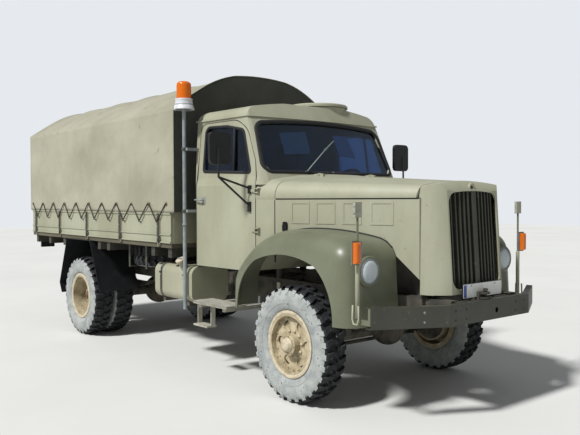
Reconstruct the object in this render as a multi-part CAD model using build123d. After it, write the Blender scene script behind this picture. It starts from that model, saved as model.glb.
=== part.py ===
from build123d import *
import os
from math import cos, pi, radians, sin, sqrt, tan

# Military cargo truck, 4x4, with bonnet, closed cab and a canvas-covered bed.
# Millimetres. +X forward, +Y to the truck's left, +Z up.
# The origin lies on the ground, midway along the length and the width.

# Overall sizes and axle places. Cab, bonnet and the bed's front keep their place from the front axle,
# so a longer truck grows at its rear end, and save() then moves all of it back to midway.
LENGTH = 7370.0
WHEELBASE = 4200.0
FRONT_OVERHANG = 1314.0
FRONT_AXLE_X = 2371.0
REAR_AXLE_X = FRONT_AXLE_X - WHEELBASE
FRONT_END_X = FRONT_AXLE_X + FRONT_OVERHANG
REAR_END_X = FRONT_END_X - LENGTH
MIDDLE_X = (FRONT_END_X + REAR_END_X) / 2
SEAT_GAP = 0.3          # between pieces that rest on each other
RUN_GAP = 6.0           # between a moving panel and its neighbour
DOOR_GAP = 8.0

# Wheels
TYRE_R = 505.0
TYRE_HALF_WIDTH = 127.0
TYRE_BEAD_HALF = 95.0
RIM_SEAT_R = 256.0
RIM_FLANGE_R = 292.0
RIM_FLANGE_T = 10.0
RIM_WALL = 11.0
AXLE_Z = 505.0
FRONT_WHEEL_Y = 947.0
REAR_INNER_Y = 755.0
REAR_OUTER_Y = 1050.0
REAR_TWIN_Y = (REAR_INNER_Y + REAR_OUTER_Y) / 2
DRUM_R = 200.0
HUB_R = 92.0
HUB_BORE_R = 42.0
STUB_CLEARANCE = 0.3

# Front axle and steering
KINGPIN_Y = 780.0
BALL_R = 88.0
BALL_CLEARANCE = 0.6
KNUCKLE_CUP_R = 108.0
AXLE_TUBE_R = 50.0
STEER_ARM_BACK = 210.0
STEER_ARM_Z = AXLE_Z - 105.0
TRACK_ROD_R = 18.0
TRACK_ROD_DROP = 32.0
BALL_PIN_R = 12.0
FRONT_DIFF_Y = 190.0

# Ladder frame
RAIL_OUTER_Y = 440.0
RAIL_FLANGE = 80.0
RAIL_WALL = 8.0
RAIL_TOP_Z = 955.0
RAIL_HEIGHT = 200.0
RAIL_BOTTOM_Z = RAIL_TOP_Z - RAIL_HEIGHT
RAIL_REAR_X = REAR_END_X + 95.0
MEMBER_WIDTH = 90.0
CROSS_MEMBER_X = (FRONT_END_X - 110.0, 1480.0, 330.0, -900.0, REAR_AXLE_X - 871.0, RAIL_REAR_X + 45.0)
ENGINE_MEMBER_X = (3080.0, 2240.0)
ENGINE_MEMBER_H = 60.0

# Leaf springs
SPRING_Y = 398.0
SPRING_WIDTH = 70.0
LEAF_T = 12.0
LEAF_COUNT = 6
SPRING_RISE = 70.0
FRONT_SPRING_HALF = 640.0
REAR_SPRING_HALF = 700.0
SPRING_BASE_Z = AXLE_Z + 70.0
SPRING_EYE_Z = SPRING_BASE_Z + LEAF_COUNT * LEAF_T + SPRING_RISE + 8

# Bumper
BUMPER_STRAIGHT_HALF = 537.0
BUMPER_END_X = FRONT_END_X - 300.0
BUMPER_END_Y = 1087.0
BUMPER_TOP_Z = 940.0
BUMPER_HEIGHT = 165.0
BUMPER_DEPTH = 62.0
BUMPER_WALL = 6.0
CRANK_HOLE_R = 22.0
CRANK_HOLE_Y = 70.0
CRANK_HOLE_Z = BUMPER_TOP_Z - 92.0

# Bonnet, radiator shell and cowl
COWL_X = 1985.0
SHELL_X = 3350.0
COWL_HALF = 895.0
SHELL_HALF = 500.0
BONNET_SEAM_Z = 1765.0
COWL_CROWN_Z = 1992.0
SHELL_CROWN_Z = 1908.0
BONNET_SKIN = 22.0
BONNET_HINGE_X = COWL_X + 8.0
BONNET_HINGE_Z = COWL_CROWN_Z + 6.0
SHELL_BOTTOM_Z = 985.0
SHELL_NOSE_X = 3566.0
SHELL_RAKE = 0.066
SHELL_WALL = 14.0
SHELL_TURN = 148.0        # of the edge between front and top
GRILLE_HALF = 322.0
GRILLE_LOW_Z = 1024.0
GRILLE_HIGH_Z = 1808.0
GRILLE_TURN = 88.0
SLATS_PER_HALF = 5

# Wings
WING_OUTER_Y = 1130.0
WING_ROLL_R = 165.0
WING_REAR_X = 1566.0
WING_REAR_ANGLE = 88.0
WING_REAR_EDGE = 214.0
WING_ARCS = ((271.5, 50.0), (1024.0, 1.3), (2409.0, -13.4), (191.0, -86.7))   # radius, angle at its end
WING_SKIN = 12.0
WING_LOW_Z = 752.0
WING_INNER_FRONT_Y = 563.0
WING_CLEARANCE = SEAT_GAP

# Lamps
HEADLIGHT_Y = 907.0
HEADLIGHT_Z = 1188.0
HEADLIGHT_LENS_R = 100.0
HEADLIGHT_RING_R = 122.0
HEADLIGHT_FACE_X = 3197.0
MARKER_X = 3231.0
MARKER_Y = 1080.0
MARKER_ROD_R = 9.0
MARKER_TOP_Z = 1729.0
INDICATOR_Y = 1117.0
INDICATOR_Z = 1347.0
INDICATOR_HEIGHT = 160.0

# Cab; its sides draw in towards the front by CAB_TAPER for each millimetre of length
CAB_REAR_X = 721.0
CAB_HALF = 1000.0
CAB_TAPER = 0.052
CAB_BELT_IN = 20.0
CAB_EAVE_IN = 72.0
CAB_FLOOR_Z = 1070.0
CAB_WAIST_Z = 1895.0
CAB_BELT_Z = 1975.0
CAB_EAVE_Z = 2562.0
CAB_CROWN_Z = 2738.0
CAB_WALL = 42.0
FLOOR_T = 50.0
SCREEN_BASE_X = 1761.0
SCREEN_BASE_Z = 2026.0
SCREEN_BASE_HALF = 868.0
SCREEN_TOP_X = 1549.0
SCREEN_TOP_Z = 2484.0
SCREEN_TOP_HALF = 808.0
SCREEN_BULGE = 70.0
SCREEN_SLOPE = (SCREEN_BASE_X - SCREEN_TOP_X) / (SCREEN_TOP_Z - SCREEN_BASE_Z)
GLASS_T = 8.0
DOOR_FRONT_X = 1750.0
DOOR_REAR_X = 800.0
DOOR_TOP_Z = 2534.0
DOOR_BOTTOM_Z = 1078.0
HATCH_X = 1240.0
HATCH_Y = 290.0
HATCH_R = 330.0
HATCH_HINGE_X = HATCH_X - HATCH_R - 8.0
HATCH_HINGE_Z = CAB_CROWN_Z + 20.0
HATCH_HINGE_HALF = 120.0

# Bed and tarpaulin
BED_FRONT_X = 510.0
BED_REAR_X = REAR_END_X + 45.0
BED_HALF = 1149.0
FLOOR_LOW_Z = 1243.0
FLOOR_TOP_Z = 1290.0
WALL_TOP_Z = 1620.0
BED_WALL_T = 28.0
TAILGATE_HALF = BED_HALF - 48.0
SILL_HEIGHT = 185.0
BEARER_HEIGHT = FLOOR_LOW_Z - RAIL_TOP_Z - SILL_HEIGHT
BEARER_END = 120.0
BEARER_X = [x for x in (440.0, 70.0, -1075.0, -1340.0, -2480.0, -3020.0) if x > BED_REAR_X + 2 * BEARER_END]
BEARER_X += [BED_REAR_X + BEARER_END]
TARP_FRONT_X = 595.0
TARP_REAR_X = REAR_END_X
TARP_HEM_Z = WALL_TOP_Z + SEAT_GAP
TARP_REAR_HEM_Z = 1640.0
STAKE_END = 164.0
STAKE_X = [x for x in (256.0, -679.0, -1635.0, -2553.0) if x > BED_REAR_X + 2 * STAKE_END]
STAKE_X += [BED_REAR_X + STAKE_END]
TAIL_LAMP_X = REAR_END_X + 125.0
TAIL_LAMP_Z = 1110.0

# Rear mudguards: how far ahead of the axle, counted from it, each fold of the plate lies
MUDGUARD_INNER_Y = 610.0
MUDGUARD_T = 6.0
MUDGUARD_FOLDS = ((574.0, 607.0), (285.0, None), (-476.0, None), (-746.0, 616.0), (-671.0, 481.0))
TARP_EAVE_Z = 2722.0
TARP_TOP_Z = 3158.0
TARP_HALF = 1149.0
TARP_T = 12.0

# Spare wheel and fuel tank
SPARE_X = -500.0
SPARE_Y = -488.0
SPARE_Z = 1098.0
TANK_FRONT_X = 791.0
TANK_REAR_X = 11.0
TANK_LOW_Z = 682.0
TANK_HIGH_Z = 1058.0
TANK_OUTER_Y = 1055.0
TANK_INNER_Y = 600.0

# Running boards
BOARD_FRONT_X = 1560.0
BOARD_REAR_X = 967.0
BOARD_TOP_Z = 745.0
BOARD_OUTER_Y = 1150.0
BOARD_INNER_Y = 915.0
BOARD_T = 26.0

# Beacon
POLE_X = 715.0
POLE_Y = -1090.0
POLE_R = 19.5
POLE_LOW_Z = 620.0
POLE_HIGH_Z = 2690.0
BEACON_BASE_R = 107.0
BEACON_DOME_R = 75.0
BEACON_TOP_Z = 2978.0

AXIS_OF = {"XZ": (0, 1, 0), "XY": (0, 0, 1), "YZ": (1, 0, 0)}


def on_plane(plane, at, a, b):
    return {"XZ": (a, at, b), "XY": (a, b, at), "YZ": (at, a, b)}[plane]


def outline(path, plane, at=0.0):
    """A face. Each step of the path is an end point, or an arc's middle and end point."""
    edges = []
    here = path[0]
    steps = list(path[1:])
    if steps[-1][-2:] != path[0]:
        steps.append(path[0])
    for step in steps:
        start, end = on_plane(plane, at, *here), on_plane(plane, at, *step[-2:])
        if len(step) == 4:
            edges.append(ThreePointArc(start, on_plane(plane, at, *step[:2]), end))
        else:
            edges.append(Line(start, end))
        here = step[-2:]
    return make_face(edges)


def prism(path, plane, low, high):
    """The outline drawn on a plane and drawn out from low to high along that plane's normal."""
    return extrude(outline(path, plane, low), amount=high - low, dir=AXIS_OF[plane])


def block(x0, x1, y0, y1, z0, z1):
    return Pos((x0 + x1) / 2, (y0 + y1) / 2, (z0 + z1) / 2) * Box(abs(x1 - x0), abs(y1 - y0), abs(z1 - z0))


def rod(start, end, radius):
    start, end = Vector(*start), Vector(*end)
    way = end - start
    return Solid.make_cylinder(radius, way.length, Plane(origin=start, z_dir=way))


def mirrored(shape):
    return mirror(shape, about=Plane.XZ)


def pair(shape):
    return Compound(children=list(shape.solids()) + list(mirrored(shape).solids()))


def turned(path):
    """A ring about the Y axis from an outline whose columns are y and radius."""
    return revolve(outline(path, "YZ"), Axis.Y)


def save(name, shape):
    if isinstance(shape, (list, tuple)):
        shape = Compound(children=[solid for piece in shape for solid in piece.solids()])
    shape = Pos(-MIDDLE_X, 0, 0) * shape
    shape.label = name
    export_step(shape, "parts/" + name + ".step")


# Tyres and wheels, drawn about the Y axis with the outer face towards +Y

TREAD_BARS = 26
TREAD_DEPTH = 22.0
BAR_FOOT_HALF = 108.0       # half length of a bar across the tread, at its foot and its tip
BAR_TIP_HALF = 94.0
BAR_FOOT_SHARE = 0.62       # of the pitch, the rest is the groove
BAR_TIP_SHARE = 0.5


def tyre():
    """Flat-faced casing with tread bars, one bar middle straight below the axle."""
    pitch = 2 * pi / TREAD_BARS
    foot, tip = BAR_FOOT_SHARE * pitch / 2, BAR_TIP_SHARE * pitch / 2
    tip_r, foot_r = TYRE_R / cos(tip), TYRE_R - TREAD_DEPTH
    corner = 1 / cos(pitch / 2)
    bead = TYRE_BEAD_HALF - SEAT_GAP
    casing = [                      # y, radius, from the shoulder to the bead's inner edge
        (TYRE_HALF_WIDTH, 428),
        (TYRE_HALF_WIDTH, 372),
        (bead, (RIM_FLANGE_R + 4) * corner),
        (bead, (RIM_SEAT_R + SEAT_GAP) * corner),
    ]

    def at(y, radius, angle):
        return Vector(radius * sin(angle), y, -radius * cos(angle))

    def across(r0, y0, angle0, r1, y1, angle1):
        """A face from tread edge to tread edge."""
        return [at(y0, r0, angle0), at(y1, r1, angle1), at(-y1, r1, angle1), at(-y0, r0, angle0)]

    facets = []
    for number in range(TREAD_BARS):
        middle = number * pitch
        after = middle + pitch
        facets += [
            across(tip_r, BAR_TIP_HALF, middle - tip, tip_r, BAR_TIP_HALF, middle + tip),
            across(tip_r, BAR_TIP_HALF, middle + tip, foot_r, BAR_FOOT_HALF, middle + foot),
            across(foot_r, BAR_FOOT_HALF, middle + foot, foot_r, BAR_FOOT_HALF, after - foot),
            across(foot_r, BAR_FOOT_HALF, after - foot, tip_r, BAR_TIP_HALF, after - tip),
            across(casing[-1][1], bead, middle, casing[-1][1], bead, after),
        ]
        for side in (1, -1):
            end = side * BAR_FOOT_HALF
            feet = [at(end, foot_r, angle) for angle in (middle - foot, middle + foot, after - foot)]
            tips = [at(side * BAR_TIP_HALF, tip_r, angle) for angle in (middle + tip, middle - tip)]
            shoulder = [at(side * casing[0][0], casing[0][1], angle) for angle in (middle, after)]
            facets += [
                [feet[0], feet[1]] + tips,
                [feet[0], feet[1], shoulder[0]],
                [feet[1], shoulder[1], shoulder[0]],
                [feet[1], feet[2], shoulder[1]],
            ]
            for (y0, r0), (y1, r1) in zip(casing, casing[1:]):
                facets.append([at(side * y0, r0, middle), at(side * y0, r0, after),
                                 at(side * y1, r1, after), at(side * y1, r1, middle)])
    return Solid(Shell([Face(Wire.make_polygon(corners, close=True)) for corners in facets]))


def rim_ring():
    edge = TYRE_BEAD_HALF + RIM_FLANGE_T
    inner = RIM_SEAT_R - RIM_WALL
    return turned([
        (-edge, inner), (edge, inner), (edge, RIM_FLANGE_R), (TYRE_BEAD_HALF, RIM_FLANGE_R),
        (TYRE_BEAD_HALF, RIM_SEAT_R), (-TYRE_BEAD_HALF, RIM_SEAT_R), (-TYRE_BEAD_HALF, RIM_FLANGE_R),
        (-edge, RIM_FLANGE_R),
    ])


def disc(y, thickness, outer_r, openings, opening_r, opening_at):
    """A wheel disc with a ring of round openings."""
    plate = rod((0, y, 0), (0, y + thickness, 0), outer_r)
    for number in range(openings):
        turn = radians(360 / openings * (number + 0.5))
        x, z = opening_at * sin(turn), opening_at * cos(turn)
        plate -= rod((x, y - 1, z), (x, y + thickness + 1, z), opening_r)
    return plate


FRONT_DISC_Y = 38.0
DISC_T = 16.0
FRONT_DRUM_INNER = -135.0
FRONT_HUB_OUTER = 118.0


def front_wheel():
    seat = RIM_SEAT_R - RIM_WALL / 2
    wheel = rim_ring() + disc(FRONT_DISC_Y, DISC_T, seat, 6, 44, 172)
    wheel += rod((0, FRONT_DRUM_INNER, 0), (0, FRONT_DISC_Y + 1, 0), DRUM_R)
    wheel -= rod((0, FRONT_DRUM_INNER - 1, 0), (0, FRONT_DISC_Y - 14, 0), DRUM_R - 14)
    wheel += rod((0, -60, 0), (0, FRONT_HUB_OUTER, 0), HUB_R)
    wheel -= rod((0, -61, 0), (0, 64, 0), HUB_BORE_R + STUB_CLEARANCE)
    return wheel


def rear_wheels():
    """Both rims of a twin pair on one hub; y = 0 is midway between the two tyres."""
    offset = (REAR_OUTER_Y - REAR_INNER_Y) / 2
    seat = RIM_SEAT_R - RIM_WALL / 2
    ring = rim_ring()
    wheel = (Pos(0, offset, 0) * ring) + (Pos(0, -offset, 0) * ring)
    dish = 46.0
    wheel += disc(dish - DISC_T, DISC_T, seat, 6, 40, 180)
    wheel += disc(-dish, DISC_T, seat, 6, 40, 180)
    wheel += rod((0, -dish - 170, 0), (0, dish, 0), DRUM_R - 65)
    wheel += rod((0, dish - 1, 0), (0, dish + 96, 0), HUB_R)
    wheel -= rod((0, -dish - 171, 0), (0, dish + 40, 0), HUB_BORE_R + STUB_CLEARANCE)
    return wheel


def at_wheel(shape, x, y):
    """Puts a wheel piece at an axle end. The left side is +y, the right side its mirror image."""
    if y < 0:
        shape = mirrored(shape)
    return Pos(x, y, AXLE_Z) * shape


# Axles, knuckles and track rod

def axle(x, diff_y, half_length, tube_r, diff_r):
    shape = rod((x, -half_length, AXLE_Z), (x, half_length, AXLE_Z), tube_r)
    shape += Pos(x, diff_y, AXLE_Z) * Sphere(diff_r)
    shape += rod((x, diff_y - 150, AXLE_Z), (x, diff_y + 150, AXLE_Z), tube_r + 34)
    for y in (SPRING_Y, -SPRING_Y):
        shape += block(x - 62, x + 62, y - SPRING_WIDTH / 2, y + SPRING_WIDTH / 2, AXLE_Z, SPRING_BASE_Z)
    return shape


def axles():
    front = axle(FRONT_AXLE_X, FRONT_DIFF_Y, KINGPIN_Y, AXLE_TUBE_R, 165)
    for side in (1, -1):
        front += Pos(FRONT_AXLE_X, side * KINGPIN_Y, AXLE_Z) * Sphere(BALL_R)
    front += rod((FRONT_AXLE_X - 235, FRONT_DIFF_Y, AXLE_Z), (FRONT_AXLE_X, FRONT_DIFF_Y, AXLE_Z), 62)
    rear = axle(REAR_AXLE_X, 0, REAR_TWIN_Y - 225, AXLE_TUBE_R + 12, 195)
    stub = REAR_TWIN_Y + 60
    rear += rod((REAR_AXLE_X, -stub, AXLE_Z), (REAR_AXLE_X, stub, AXLE_Z), HUB_BORE_R)
    rear += rod((REAR_AXLE_X, 0, AXLE_Z), (REAR_AXLE_X + 260, 0, AXLE_Z), 66)
    return [front, rear]


def knuckle():
    """The left swivel knuckle: cup round the ball, stub for the hub, and the steering arm."""
    ball_y = KINGPIN_Y
    cup = rod((0, ball_y - 8, 0), (0, ball_y + 104, 0), KNUCKLE_CUP_R)
    cup += rod((0, ball_y, -126), (0, ball_y, 126), 34)
    cup += rod((0, ball_y + 28, 0), (0, ball_y + 36, 0), DRUM_R - 18)
    cup -= Pos(0, ball_y, 0) * Sphere(BALL_R + BALL_CLEARANCE)
    cup -= block(-200, 200, ball_y - 130, ball_y - 34, -60, 60)
    cup += rod((0, ball_y + 98, 0), (0, FRONT_WHEEL_Y + 62, 0), HUB_BORE_R)
    arm_z = STEER_ARM_Z - AXLE_Z
    arm = prism([(20, ball_y - 30), (20, ball_y + 22), (-STEER_ARM_BACK, ball_y + 22),
                 (-STEER_ARM_BACK - 22, ball_y, -STEER_ARM_BACK, ball_y - 22)], "XY", arm_z - 12, arm_z + 12)
    pin_end = arm_z - TRACK_ROD_DROP - 18
    arm += rod((-STEER_ARM_BACK, ball_y, arm_z), (-STEER_ARM_BACK, ball_y, pin_end), BALL_PIN_R)
    return Pos(FRONT_AXLE_X, 0, AXLE_Z) * (cup + arm)


def track_rod():
    x = FRONT_AXLE_X - STEER_ARM_BACK
    y = KINGPIN_Y
    z = STEER_ARM_Z - TRACK_ROD_DROP
    bar = rod((x, -y, z), (x, y, z), TRACK_ROD_R)
    for side in (1, -1):
        bar += rod((x, side * y, z - 15), (x, side * y, z + 15), 30)
    for side in (1, -1):
        bar -= rod((x, side * y, z - 40), (x, side * y, z + 40), BALL_PIN_R + SEAT_GAP)
    return bar


# Springs: each leaf is bent up from the middle to its ends

def leaf_spring(x, y, half):
    pack = None
    for number in range(LEAF_COUNT):
        reach = half * (1 - number / (LEAF_COUNT + 0.8))
        top = SPRING_BASE_Z + (LEAF_COUNT - number) * LEAF_T
        rise = SPRING_RISE * (reach / half) ** 2
        middle = reach * 0.45
        bend = rise * 0.28
        leaf = prism([
            (x - reach, top + rise), (x - middle, top + bend),
            (x + middle, top + bend), (x + reach, top + rise),
            (x + reach, top + rise - LEAF_T), (x + middle, top + bend - LEAF_T),
            (x - middle, top + bend - LEAF_T), (x - reach, top + rise - LEAF_T),
        ], "XZ", y - SPRING_WIDTH / 2, y + SPRING_WIDTH / 2)
        pack = leaf if pack is None else pack + leaf
    pack += block(x - 55, x + 55, y - SPRING_WIDTH / 2, y + SPRING_WIDTH / 2,
                  SPRING_BASE_Z + SEAT_GAP, SPRING_BASE_Z + LEAF_T * LEAF_COUNT + 30)
    for side in (1, -1):
        pack += rod((x + side * half, y - SPRING_WIDTH / 2, SPRING_EYE_Z),
                    (x + side * half, y + SPRING_WIDTH / 2, SPRING_EYE_Z), 24)
    return pack


def leaf_springs():
    packs = []
    for x, half in ((FRONT_AXLE_X, FRONT_SPRING_HALF), (REAR_AXLE_X, REAR_SPRING_HALF)):
        for side in (1, -1):
            packs.append(leaf_spring(x, side * SPRING_Y, half))
    return packs


# Ladder frame: two channel rails, channel cross members, spring hangers and the tank's two arms

def rail():
    front = FRONT_END_X - BUMPER_WALL
    inner = RAIL_OUTER_Y - RAIL_WALL
    shape = block(RAIL_REAR_X, front, inner, RAIL_OUTER_Y, RAIL_BOTTOM_Z, RAIL_TOP_Z)
    for z in (RAIL_BOTTOM_Z, RAIL_TOP_Z - RAIL_WALL):
        shape += block(RAIL_REAR_X, front, RAIL_OUTER_Y - RAIL_FLANGE, RAIL_OUTER_Y, z, z + RAIL_WALL)
    shape -= block(front - BUMPER_DEPTH, front + 1, 0, RAIL_OUTER_Y + 1, RAIL_BOTTOM_Z - 1,
                   BUMPER_TOP_Z - BUMPER_HEIGHT + BUMPER_WALL + SEAT_GAP)
    shape -= block(front - BUMPER_DEPTH, front + 1, 0, RAIL_OUTER_Y + 1,
                   BUMPER_TOP_Z - BUMPER_WALL - SEAT_GAP, RAIL_TOP_Z + 1)
    shape -= block(front - SEAT_GAP, front + 1, 0, RAIL_OUTER_Y + 1, RAIL_BOTTOM_Z - 1, RAIL_TOP_Z + 1)
    return shape


def cross_member(x, low, high):
    half = RAIL_OUTER_Y - RAIL_WALL / 2
    web = block(x - MEMBER_WIDTH / 2, x - MEMBER_WIDTH / 2 + RAIL_WALL, -half, half, low, high)
    for z in (low, high - RAIL_WALL):
        web += block(x - MEMBER_WIDTH / 2, x + MEMBER_WIDTH / 2, -half, half, z, z + RAIL_WALL)
    return web


def spring_hanger(x, side):
    """Two cheeks under the rail with the spring's eye between them."""
    y = side * SPRING_Y
    gap = SPRING_WIDTH / 2 + SEAT_GAP
    cheek = None
    for face in (1, -1):
        plate = prism([(x - 45, RAIL_BOTTOM_Z + 4), (x + 45, RAIL_BOTTOM_Z + 4), (x + 26, SPRING_EYE_Z - 20),
                       (x, SPRING_EYE_Z - 32, x - 26, SPRING_EYE_Z - 20)],
                      "XZ", y + face * gap - (8 if face < 0 else 0), y + face * gap + (8 if face > 0 else 0))
        cheek = plate if cheek is None else cheek + plate
    return cheek


TANK_ARM_X = (150.0, 650.0)
TANK_ARM_T = 40.0
CAB_MOUNT_X = (860.0, 1440.0)


def frame():
    shape = rail()
    shape += mirrored(shape)
    for x in CROSS_MEMBER_X:
        shape += cross_member(x, RAIL_BOTTOM_Z + 20, RAIL_TOP_Z - 20)
    shape -= rod((1400, 0, MID_SHAFT_Z), (1560, 0, MID_SHAFT_Z), MID_SHAFT_R + 12)
    for x in ENGINE_MEMBER_X:
        shape += cross_member(x, RAIL_BOTTOM_Z, RAIL_BOTTOM_Z + ENGINE_MEMBER_H)
    for x, half in ((FRONT_AXLE_X, FRONT_SPRING_HALF), (REAR_AXLE_X, REAR_SPRING_HALF)):
        for side in (1, -1):
            shape += spring_hanger(x - half, side) + spring_hanger(x + half, side)
    for x in TANK_ARM_X:
        arm = block(x - 25, x + 25, -TANK_OUTER_Y + 40, -RAIL_OUTER_Y + 4,
                    TANK_LOW_Z - TANK_ARM_T, TANK_LOW_Z - SEAT_GAP)
        arm += block(x - 25, x + 25, -RAIL_OUTER_Y - 12, -RAIL_OUTER_Y + 4,
                     TANK_LOW_Z - TANK_ARM_T, RAIL_TOP_Z - 30)
        shape += arm
    for y in (RAIL_OUTER_Y - 40, 40 - RAIL_OUTER_Y):
        for x in CAB_MOUNT_X:
            shape += rod((x, y, RAIL_TOP_Z - 4), (x, y, CAB_FLOOR_Z - SEAT_GAP), 40)
    for y0, y1 in ((RAIL_OUTER_Y - 27, SHELL_HALF), (-SHELL_HALF, 27 - RAIL_OUTER_Y)):
        shape += block(SHELL_X - 20, SHELL_X + 20, y0, y1, RAIL_TOP_Z - 4, SHELL_BOTTOM_Z - SEAT_GAP)
    return shape


# Bumper: a channel, straight in the middle and swept back at its ends

def bumper_band(depth, low, high, inset=0.0):
    front = [(BUMPER_END_X, BUMPER_END_Y), (FRONT_END_X, BUMPER_STRAIGHT_HALF),
             (FRONT_END_X, -BUMPER_STRAIGHT_HALF), (BUMPER_END_X, -BUMPER_END_Y)]
    back = [(x - depth, y) for x, y in reversed(front)]
    return prism([(x - inset, y) for x, y in front + back], "XY", low, high)


def bumper():
    low, high = BUMPER_TOP_Z - BUMPER_HEIGHT, BUMPER_TOP_Z
    shape = bumper_band(BUMPER_WALL, low, high)
    shape += bumper_band(BUMPER_DEPTH, high - BUMPER_WALL, high)
    shape += bumper_band(BUMPER_DEPTH, low, low + BUMPER_WALL)
    shape -= rod((FRONT_END_X - 30, CRANK_HOLE_Y, CRANK_HOLE_Z), (FRONT_END_X + 5, CRANK_HOLE_Y, CRANK_HOLE_Z),
                 CRANK_HOLE_R)
    return shape


# Towing fittings: the jaw behind the bumper's slot, and the coupling at the rear

JAW_Y = -30.0
JAW_Z = BUMPER_TOP_Z + 29.0


def front_jaw():
    base = FRONT_END_X - BUMPER_DEPTH - SEAT_GAP
    jaw = block(base - 60, base, JAW_Y - 55, JAW_Y + 55, RAIL_TOP_Z - 20 + SEAT_GAP, JAW_Z + 30)
    for z in (JAW_Z - 18, JAW_Z + 22):
        jaw += prism([(base - 40, JAW_Y - 50), (base + 34, JAW_Y - 44),
                      (base + 54, JAW_Y, base + 34, JAW_Y + 44),
                      (base - 40, JAW_Y + 50)], "XY", z - 7, z + 7)
    jaw += rod((base + 22, JAW_Y, JAW_Z - 25), (base + 22, JAW_Y, JAW_Z + 44), 12)
    jaw += rod((base + 22, JAW_Y, JAW_Z + 40), (base + 22, JAW_Y, JAW_Z + 58), 20)
    return jaw


COUPLING_Z = 850.0
COUPLING_PIN_R = 19.0
COUPLING_GAP = 60.0


def rear_coupling():
    """A jaw coupling: body on a plate, two lips with an upright pin between them."""
    face = RAIL_REAR_X - SEAT_GAP
    shape = block(face - 14, face, -90, 90, COUPLING_Z - 85, COUPLING_Z + 85)
    for side in (1, -1):
        z = COUPLING_Z + side * (COUPLING_GAP / 2 + 11)
        shape += prism([(face - 10, -60), (face - 74, -52), (face - 84, 0, face - 74, 52), (face - 10, 60)],
                       "XY", z - 11, z + 11)
    shape += rod((face - 46, 0, COUPLING_Z - 45), (face - 46, 0, COUPLING_Z + 92), COUPLING_PIN_R)
    return shape


# Engine, gearbox, shafts, exhaust, radiator

MID_SHAFT_Z = 855.0
MID_SHAFT_R = 36.0


def engine_block():
    low = RAIL_BOTTOM_Z + ENGINE_MEMBER_H + SEAT_GAP
    return block(2190, 3180, -280, 280, low, low + 800)


def gearbox_and_shafts():
    low_z = RAIL_BOTTOM_Z + 30
    shape = block(1560, 2189.7, -170, 170, low_z, 1035)
    shape += block(760, 1080, -150, 330, 560, RAIL_TOP_Z - 40)
    shape += rod((1075, 0, MID_SHAFT_Z), (1565, 0, MID_SHAFT_Z), MID_SHAFT_R)
    front_nose = FRONT_AXLE_X - 235 - SEAT_GAP
    rear_nose = REAR_AXLE_X + 260 + SEAT_GAP
    shape += rod((1075, FRONT_DIFF_Y, 640), (front_nose + 20, FRONT_DIFF_Y, AXLE_Z - 2), 38)
    shape += rod((rear_nose - 20, 0, AXLE_Z), (765, 0, 700), 42)
    return shape & block(rear_nose, 2189.7, -400, 400, 0, 2000) - block(front_nose, 2400, 100, 300, 400, 640)


def exhaust():
    y, z = 620.0, 635.0
    pipe_path = FilletPolyline((2420, 318, 980), (2130, 318, 970), (1990, 318, 660), (1660, 318, 650),
                               (1430, y, z), (700, y, z), radius=90)
    pipe = sweep(Plane(origin=pipe_path @ 0, z_dir=pipe_path % 0) * Circle(36), path=pipe_path)
    shape = pipe + rod((700, y, z), (-150, y, z), 105) + rod((-150, y, z), (-900, y, z), 30)
    for x in (0, 500):
        shape += block(x, x + 40, RAIL_OUTER_Y + SEAT_GAP, y + 10, 790, 810)
        shape += block(x, x + 40, y - 10, y + 10, z, 810)
    return shape


def radiator():
    return block(SHELL_X - 28, SHELL_X + 62, -410, 410, RAIL_TOP_Z + SEAT_GAP, 1760)


# Radiator shell: plan outline drawn up along the raked front, trimmed by the front view's rounded top

def shell_form(inset):
    """The closed form of the shell, drawn in by inset on its sides, front and top."""
    plan = outline([
        (SHELL_X - 30, SHELL_HALF + 3), (SHELL_X + 62, SHELL_HALF - 26),
        (SHELL_X + 150, SHELL_HALF - 88, SHELL_X + 200, GRILLE_HALF + 14),
        (SHELL_NOSE_X - 8, 0, SHELL_X + 200, -GRILLE_HALF - 14),
        (SHELL_X + 150, -SHELL_HALF + 88, SHELL_X + 62, -SHELL_HALF + 26),
        (SHELL_X - 30, -SHELL_HALF - 3),
    ], "XY", SHELL_BOTTOM_Z)
    if inset:
        plan = offset(plan, amount=-inset, kind=Kind.INTERSECTION)
    height = SHELL_CROWN_Z - SHELL_BOTTOM_Z
    form = extrude(plan, amount=height * 1.2, dir=(-SHELL_RAKE, 0, 1))
    front_view = crown_path(SHELL_HALF + 3, SHELL_CROWN_Z, inset, SHELL_BOTTOM_Z - 50)
    form &= prism(front_view, "YZ", SHELL_X - 60, SHELL_X + 400)
    turn = SHELL_TURN - inset
    centre_x, centre_z = SHELL_NOSE_X - 58 - SHELL_TURN, SHELL_CROWN_Z + 5 - SHELL_TURN
    nick = turn * sqrt(0.5)
    form &= prism([
        (SHELL_X - 60, SHELL_BOTTOM_Z - 50), (SHELL_X + 300, SHELL_BOTTOM_Z - 50),
        (SHELL_X + 300, centre_z - 160),
        (centre_x + turn, centre_z), (centre_x + nick, centre_z + nick, centre_x, centre_z + turn),
        (SHELL_X - 60, centre_z + turn + 2),
    ], "XZ", -600, 600)
    return form


def crown_path(half, crown, inset, low):
    """Front-view outline of bonnet, cowl and shell: upright side, rounded shoulder, slightly crowned top."""
    shoulder = BONNET_SEAM_Z + (crown - BONNET_SEAM_Z) * 0.72 - inset
    side = half - inset
    lean = half * 0.10 + 22
    return [
        (side, low), (side, BONNET_SEAM_Z - 10),
        (side - lean * 0.28, BONNET_SEAM_Z + (shoulder - BONNET_SEAM_Z) * 0.72, side - lean, shoulder),
        (0, crown - inset, -side + lean, shoulder),
        (-side + lean * 0.28, BONNET_SEAM_Z + (shoulder - BONNET_SEAM_Z) * 0.72, -side, BONNET_SEAM_Z - 10),
        (-side, low),
    ]


LID_REACH = SHELL_X - RUN_GAP - BONNET_HINGE_X


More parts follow.
